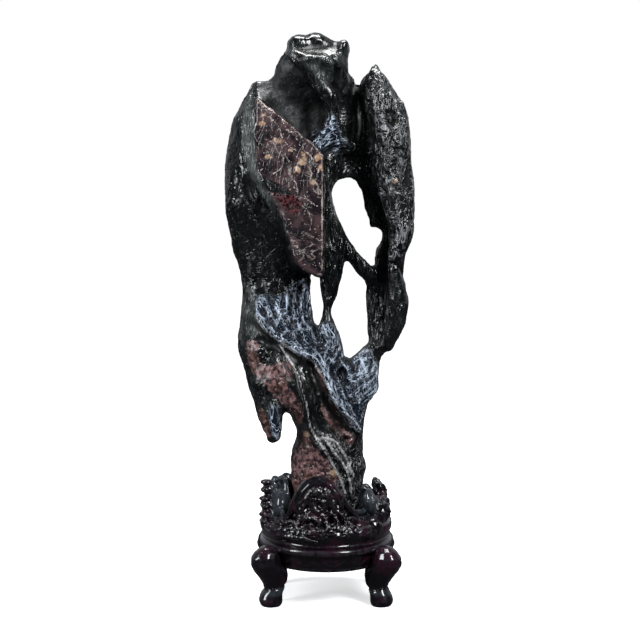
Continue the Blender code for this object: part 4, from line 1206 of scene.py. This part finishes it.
def joined(objects, name):
    with bpy.context.temp_override(active_object=objects[0], selected_editable_objects=objects):
        bpy.ops.object.join()
    objects[0].name = name
    objects[0].data.name = name
    return objects[0]


# %% [markdown]
# The blanks run into each other. Joined and remeshed they become one solid, as the real crest is,
# and after a little smoothing the carver's cuts are made in it: a groove inside the hood's rim,
# holes drilled through the leaves, notches between the buds, scales on the right cluster. Where
# the rock's foot stands in the crest, the wood is pressed back to leave it room.

# %% Carve the crest
CREST_VOXEL = 0.00068
ROCK_FOOT = np.array([
    # (height, left, right, front, back) of the rock's foot
    (50, -21, 21, -16.5, 16.5), (70, -22, 24, -18, 17.5),
    (84, -25.5, 27.4, -19.5, 19), (97, -26, 29.3, -20.5, 20),
])
FOOT_GAP = 0.7  # room between the rock's foot and the wood, in mm
CREST_MARGIN = 0.05  # how far it stays inside the whole part's box, in mm
BUD_RISE = 5.6  # from one bud of the left stack to the next, in mm
DOME = [
    (-24.5, 60), (-23.5, 68), (-19, 80), (-14.6, 86.4), (-10, 89.4), (-4, 90.2), (2, 88.4), (7, 82.5),
    (11, 75), (15, 67.6), (17, 60), (-4, 52),
]
DRILLED = [
    # (x, z, half width, half height, depth)
    (-14.2, 73.0, 2.0, 2.2, 3.0), (-5.1, 75.4, 2.4, 2.8, 3.4), (2.6, 72.0, 1.4, 2.2, 2.6),
    (-10.6, 61.6, 2.2, 2.6, 3.0), (-24.0, 59.6, 1.3, 1.6, 2.0), (-37.0, 59.6, 2.2, 1.8, 2.2),
    (4.4, 64.6, 1.6, 2.4, 3.0), (11.0, 66.4, 1.5, 2.4, 3.0), (17.0, 62.6, 1.7, 2.0, 2.6),
    (8.8, 57.6, 2.0, 1.3, 2.4), (20.6, 59.6, 1.4, 1.7, 2.4), (-8.6, 81.0, 1.6, 1.0, 1.4),
    (-17.5, 77.0, 1.2, 1.6, 1.4), (-1.2, 80.4, 1.4, 1.2, 1.6), (-31.0, 57.0, 1.6, 1.2, 1.8),
    (8, 76, 1.2, 1.8, 1.4),
]


def clear_of_rock(p):
    """Pushes the points outwards until the rock's foot has its gap."""
    heights = ROCK_FOOT[:, 0]
    left, right, front, back = (np.interp(p[:, 2], heights, ROCK_FOOT[:, k]) for k in (1, 2, 3, 4))
    wide = np.where(p[:, 0] > 0, right + FOOT_GAP, FOOT_GAP - left)
    deep = np.where(p[:, 1] > 0, back + FOOT_GAP, FOOT_GAP - front)
    share = np.maximum(np.hypot(p[:, 0] / wide, p[:, 1] / deep), 0.2)
    return grown(p, np.where((share < 1) & (p[:, 2] > 54.6), 1 / share, 1.0))


def carve_crest(crest):
    p = melted(drawn_points(crest), edges_of(crest.data), 2)
    move_points(crest.data, to_frame(p))
    normals = normals_of(crest.data)
    spots = p[:, [0, 2]]
    front = ease(-normals[:, 1], -0.1, 0.4) * (p[:, 1] < -12)
    height = np.zeros(len(p))
    # leaves on the dome, and a groove inside its hood's rim
    dome = outline_depth(spots, DOME, 4)
    inside = ease(dome, 0.2, 1.4) * front * (p[:, 1] < -27)
    leaves = 1.5 - 3.4 * cells(p * (1, 0.6, 0.8), 6.4, 2.0)
    height += inside * (-0.5 + 1.1 * np.clip(leaves, -0.8, 0.9) + 0.35 * (ridged(p, 4.2, 2) - 0.9))
    height -= 1.1 * front * (p[:, 1] < -27) * np.exp(-(((dome - 0.8) / 0.8) ** 2))
    for x, z, wide, tall, depth in DRILLED:
        height -= depth * np.exp(-(oval(spots, x, z, wide, tall) ** 1.5)) * front
    # strokes on the belt of scrolls, scales on the right, notches between the buds on the left
    belt = front * ease(p[:, 2], 48, 52) * (1 - ease(p[:, 2], 63, 68)) * (1 - ease(p[:, 0], 22, 26))
    height += belt * 0.55 * (ridged(p, 3.6, 2, (1.3, 1, 0.8), 4.4) - 0.95)
    scaly = ease(p[:, 0], 35.5, 38.5) * ease(p[:, 2], 59, 62)
    height += scaly * (1.0 - 2.4 * cells(p * (1, 0.8, 1.2), 3.6, 6.0))
    stack = ease(-p[:, 0], 38.5, 41.5) * ease(p[:, 2], 57, 60)
    height += stack * 0.9 * (np.abs(np.sin(math.pi * (p[:, 2] - 82.2 + 0.1 * p[:, 1]) / BUD_RISE)) - 0.75)
    # the back is plainer: broad strokes and a few holes
    behind = ease(p[:, 1], 14, 24) * ease(p[:, 2], 60, 63)
    holes = np.clip(0.45 - cells(p, 6, 3.0), 0, 1)
    height += behind * (0.6 * (ridged(p, 7, 2, (1, 1, 1.3), 8.8) - 0.9) - 0.5 * holes)
    height += 0.14 * uneven(p, 5, 2)
    p = clear_of_rock(p + height[:, None] * normals)
    keep_value(crest, "carved", np.clip(-height / 2.0, 0, 1))
    # painted sheen: blue-grey on the side petals behind the dome
    sides = ease(np.abs(p[:, 0] + 2), 23, 27) * (1 - ease(p[:, 0], 36, 38)) * (1 - ease(-p[:, 0], 39, 41))
    grey_sheen = sides * ease(p[:, 2], 61, 66) * (1 - ease(np.abs(p[:, 1]), 20, 28))
    keep_value(crest, "grey_sheen", grey_sheen)
    low, high = map(to_drawing, cad_box)
    move_points(crest.data, to_frame(np.clip(p, low + CREST_MARGIN, high - CREST_MARGIN)))


def make_crest(wood):
    blanks = [egg_object(*egg) for egg in EGGS]
    blanks += [stems(TWIGS, wood), volutes(15, 45.2, 58.6, 3.6, 1.0, wood)]
    blanks += [upper_part(merged_copy("stand_body", "crest_blank"), 58.4)]
    crest = remeshed(joined(blanks, "stand_crest"), CREST_VOXEL)
    carve_crest(crest)
    crest.data.materials.clear()
    crest.data.materials.append(wood)
    crest.data.shade_smooth()
    return crest


# %% [markdown]
# Wood like this is stained nearly black and then lacquered. The coat is glossy and clear, and the
# stain under it is thinner on the high parts, so they look grey-violet, while old red lacquer
# shows in the hollows. A blue-grey sheen is painted on the crest's side petals and on the feet.
# Gloss is the coat's own; the wood below it stays satin.

# %% The lacquer
def make_lacquer():
    material, n, shader = new_material("dark_lacquer")
    out, carved, grey_sheen = map(n.attribute, ("stands_out", "carved", "grey_sheen"))
    stain = n.blend(n.grain(45.0, 3.0, 0.35, 0.7), (0.0018, 0.0011, 0.0022, 1), (0.0050, 0.0029, 0.0055, 1))
    red = n.ragged(n.times(n.math("SUBTRACT", n.noise(70.0, 4.0), 0.56), 30.0), 3.0, 300.0, 1.6)
    stain = n.blend(n.times(red, 0.8), stain, (0.022, 0.0036, 0.011, 1))
    stain = n.blend(n.times(n.spread(out, -0.7, 0.0, 1.0, 0.0), 0.6), stain, (0.012, 0.0025, 0.007, 1))
    wear_and_sheen = n.times(n.spread(out, 0.15, 0.9), n.grain(240.0, 3.0, 0.35, 0.6))
    stain = n.blend(wear_and_sheen, stain, (0.024, 0.019, 0.025, 1))
    # painted sheen: blue-grey on the crest's side petals and the band above the feet
    sheen_grey = n.blend(n.grain(60.0, 3.0, 0.3, 0.7), (0.016, 0.021, 0.027, 1), (0.048, 0.058, 0.068, 1))
    stain = n.blend(n.times(grey_sheen, 0.85), stain, sheen_grey)
    tool_marks = n.ridges(220.0, (1, 1, 0.5), 1.0, 3.0)
    cuts = n.ridges(300.0, (1, 1, 1), 1.0, 4.0)
    height = n.plus(n.times(tool_marks, 0.07), n.times(n.noise(90.0, 2.0), 0.5), n.times(cuts, carved, 0.8))
    n.set(shader, {
        "Base Color": stain, "Roughness": n.grain(150.0, 3.0, 0.3, 0.7, 0.20, 0.36),
        "Normal": n.bump(height, 0.0012), "IOR": 1.5, "Specular IOR Level": 0.15,
        "Coat Weight": 0.9, "Coat Roughness": 0.07,
    })
    return material


def keep_stand_piece(obj, nodes):
    for node in nodes:
        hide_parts(node)
    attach(obj, "root")


lacquer = make_lacquer()
crest = make_crest(lacquer)
measure_heights(crest, drawn_points(crest), 8, 0.6)
measure_heights(block, drawn_points(block), 4, 0.4)
block.data.materials.append(lacquer)
for piece in (crest, block):
    keep_stand_piece(piece, ["stand_body"])
print("stand_crest has", len(crest.data.polygons), "faces")

# %% [markdown]
# Each leg was sawn and then rounded with a rasp: a fat knee, a slim ankle and a pad to stand on.
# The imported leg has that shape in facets, so its copy is remeshed and melted smooth. A cut ring
# sets off the pad, and the sole is planed flat at the floor. The back legs' knees are slimmer.

# %% The four legs
LEG_VOXEL = 0.0009
RING_HEIGHT, PAD_HEIGHT = 14.2, 12.0
SLIMMER_BACK = 2.6  # mm off the outside of the back legs' knees


def make_leg(node):
    leg = remeshed(merged_copy(node, node + "_carved"), LEG_VOXEL)
    start = drawn_points(leg)
    p = melted(start, edges_of(leg.data), 12)
    low, high = map(to_drawing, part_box(node))
    sole = 1 - ease(start[:, 2] - low[2], 0.2, 0.9)
    move_points(leg.data, to_frame(p))
    normals = normals_of(leg.data)
    middle = start[start[:, 2] < 16][:, :2].mean(0)
    lean = 0.12 * (p[:, 0] - middle[0])
    ring = np.exp(-(((p[:, 2] - RING_HEIGHT - lean) / 0.8) ** 2))
    pad = np.exp(-(((p[:, 2] - PAD_HEIGHT - lean) / 1.6) ** 2))
    height = 0.35 * pad - 0.8 * ring + 0.3 * uneven(p, 9, 2) + 0.1 * uneven(p, 4, 1, (1, 1, 1), 2.0)
    outward = (normals[:, :2] * p[:, :2]).sum(1) / np.hypot(p[:, 0], p[:, 1])
    if "back" in node:
        height -= SLIMMER_BACK * ease(p[:, 2], 28, 36) * np.clip(outward, 0, 1)
    p = p + height[:, None] * normals
    p[:, 2] += sole * (low[2] - p[:, 2])
    move_points(leg.data, to_frame(np.clip(p, low, high)))
    # painted sheen on the band above the pad, strongest on the front-left foot
    wear_and_sheen = 0.9 if node == "leg_front_left" else 0.45
    keep_value(leg, "grey_sheen", wear_and_sheen * ease(p[:, 2], 8, 11) * (1 - ease(p[:, 2] - lean, 13, RING_HEIGHT)))
    keep_value(leg, "carved", np.clip(ring, 0, 1))
    leg.data.materials.append(lacquer)
    leg.data.shade_smooth()
    measure_heights(leg, drawn_points(leg), 10, 0.7)
    keep_stand_piece(leg, [node])
    return leg


legs = [make_leg(node) for node in LEGS]
print("each leg has about", len(legs[0].data.polygons), "faces")

# %% [markdown]
# The room: a pale floor, white all round, and large soft lights. Dark wax shows what it mirrors, so
# the light is part of the finish. The camera sees plain white, while the stone sees a dimmer room
# with bright windows: that keeps its blacks deep and gives its outline the pale rim of the photo.

# %% Floor, world, lights and camera
FLOOR_HALF = 60.0
FOCAL_LENGTH, SENSOR_WIDTH = 66.26, 36
CAMERA_SPOT, CAMERA_PITCH = (0.0003, -0.8593, 0.2522), 86.7


def make_floor():
    corners = [(x * FLOOR_HALF, y * FLOOR_HALF, 0) for x, y in ((-1, -1), (1, -1), (1, 1), (-1, 1))]
    floor = mesh_object("floor", corners, [(0, 1, 2, 3)])
    material, n, shader = new_material("pale_floor")
    away = n.add("ShaderNodeVectorMath", {0: n.place}, operation="LENGTH").outputs["Value"]
    n.set(shader, {"Base Color": (0.9, 0.9, 0.9, 1), "Roughness": 0.9, "Emission Color": (1, 1, 1, 1),
                   "Emission Strength": n.spread(away, 0.12, 0.7, 0.6, 1.0)})
    dim = n.add("ShaderNodeBsdfDiffuse", {"Color": (0.05, 0.05, 0.055, 1)})
    seen = n.add("ShaderNodeLightPath").outputs["Is Camera Ray"]
    mixed = n.add("ShaderNodeMixShader", {0: seen, 1: dim.outputs[0], 2: shader.outputs[0]})
    n.set(n.tree.nodes["Material Output"], {"Surface": mixed.outputs[0]})
    floor.data.materials.append(material)


def make_world():
    world = bpy.data.worlds.new("studio")
    world.use_nodes = True
    n = Nodes(world.node_tree)
    n.tree.nodes.clear()
    way = n.add("ShaderNodeTexCoord").outputs["Generated"]
    split = n.add("ShaderNodeSeparateXYZ", {0: way})
    behind = n.spread(split.outputs["Y"], -0.2, 0.9)
    tone = n.blend(behind, (0.012, 0.013, 0.015, 1), (0.42, 0.44, 0.47, 1))
    seen = n.add("ShaderNodeLightPath").outputs["Is Camera Ray"]
    tone = n.blend(seen, tone, (1, 1, 1, 1))
    back = n.add("ShaderNodeBackground", {"Color": tone, "Strength": 1.0})
    n.add("ShaderNodeOutputWorld", {"Surface": back.outputs[0]})
    bpy.context.scene.world = world


def make_light(name, spot, aim, size, watts, colour):
    lamp = bpy.data.lights.new(name, "AREA")
    lamp.shape = "RECTANGLE"
    lamp.size, lamp.size_y = size
    lamp.energy = watts
    lamp.color = colour
    obj = placed(name, lamp)
    obj.location = spot
    obj.rotation_euler = (Vector(aim) - Vector(spot)).to_track_quat("-Z", "Y").to_euler()


def make_camera():
    lens = bpy.data.cameras.new("camera")
    lens.lens = FOCAL_LENGTH
    lens.sensor_width = SENSOR_WIDTH
    obj = placed("camera", lens)
    obj.location = CAMERA_SPOT
    obj.rotation_euler = (math.radians(CAMERA_PITCH), 0, 0)
    bpy.context.scene.camera = obj


make_floor()
make_world()
make_light("window_right", (0.55, -0.75, 0.85), (0, 0, 0.25), (0.3, 0.5), 14.0, (0.95, 0.98, 1))
make_light("window_left", (-0.75, -0.45, 0.6), (0, 0, 0.22), (0.2, 0.6), 7.0, (0.93, 0.97, 1))
make_light("overhead", (0.0, 0.1, 1.1), (0, 0, 0.2), (0.5, 0.3), 10.0, (1, 1, 1))
make_camera()
bpy.context.scene.view_settings.view_transform = "Standard"
bpy.context.scene.view_settings.look = "None"
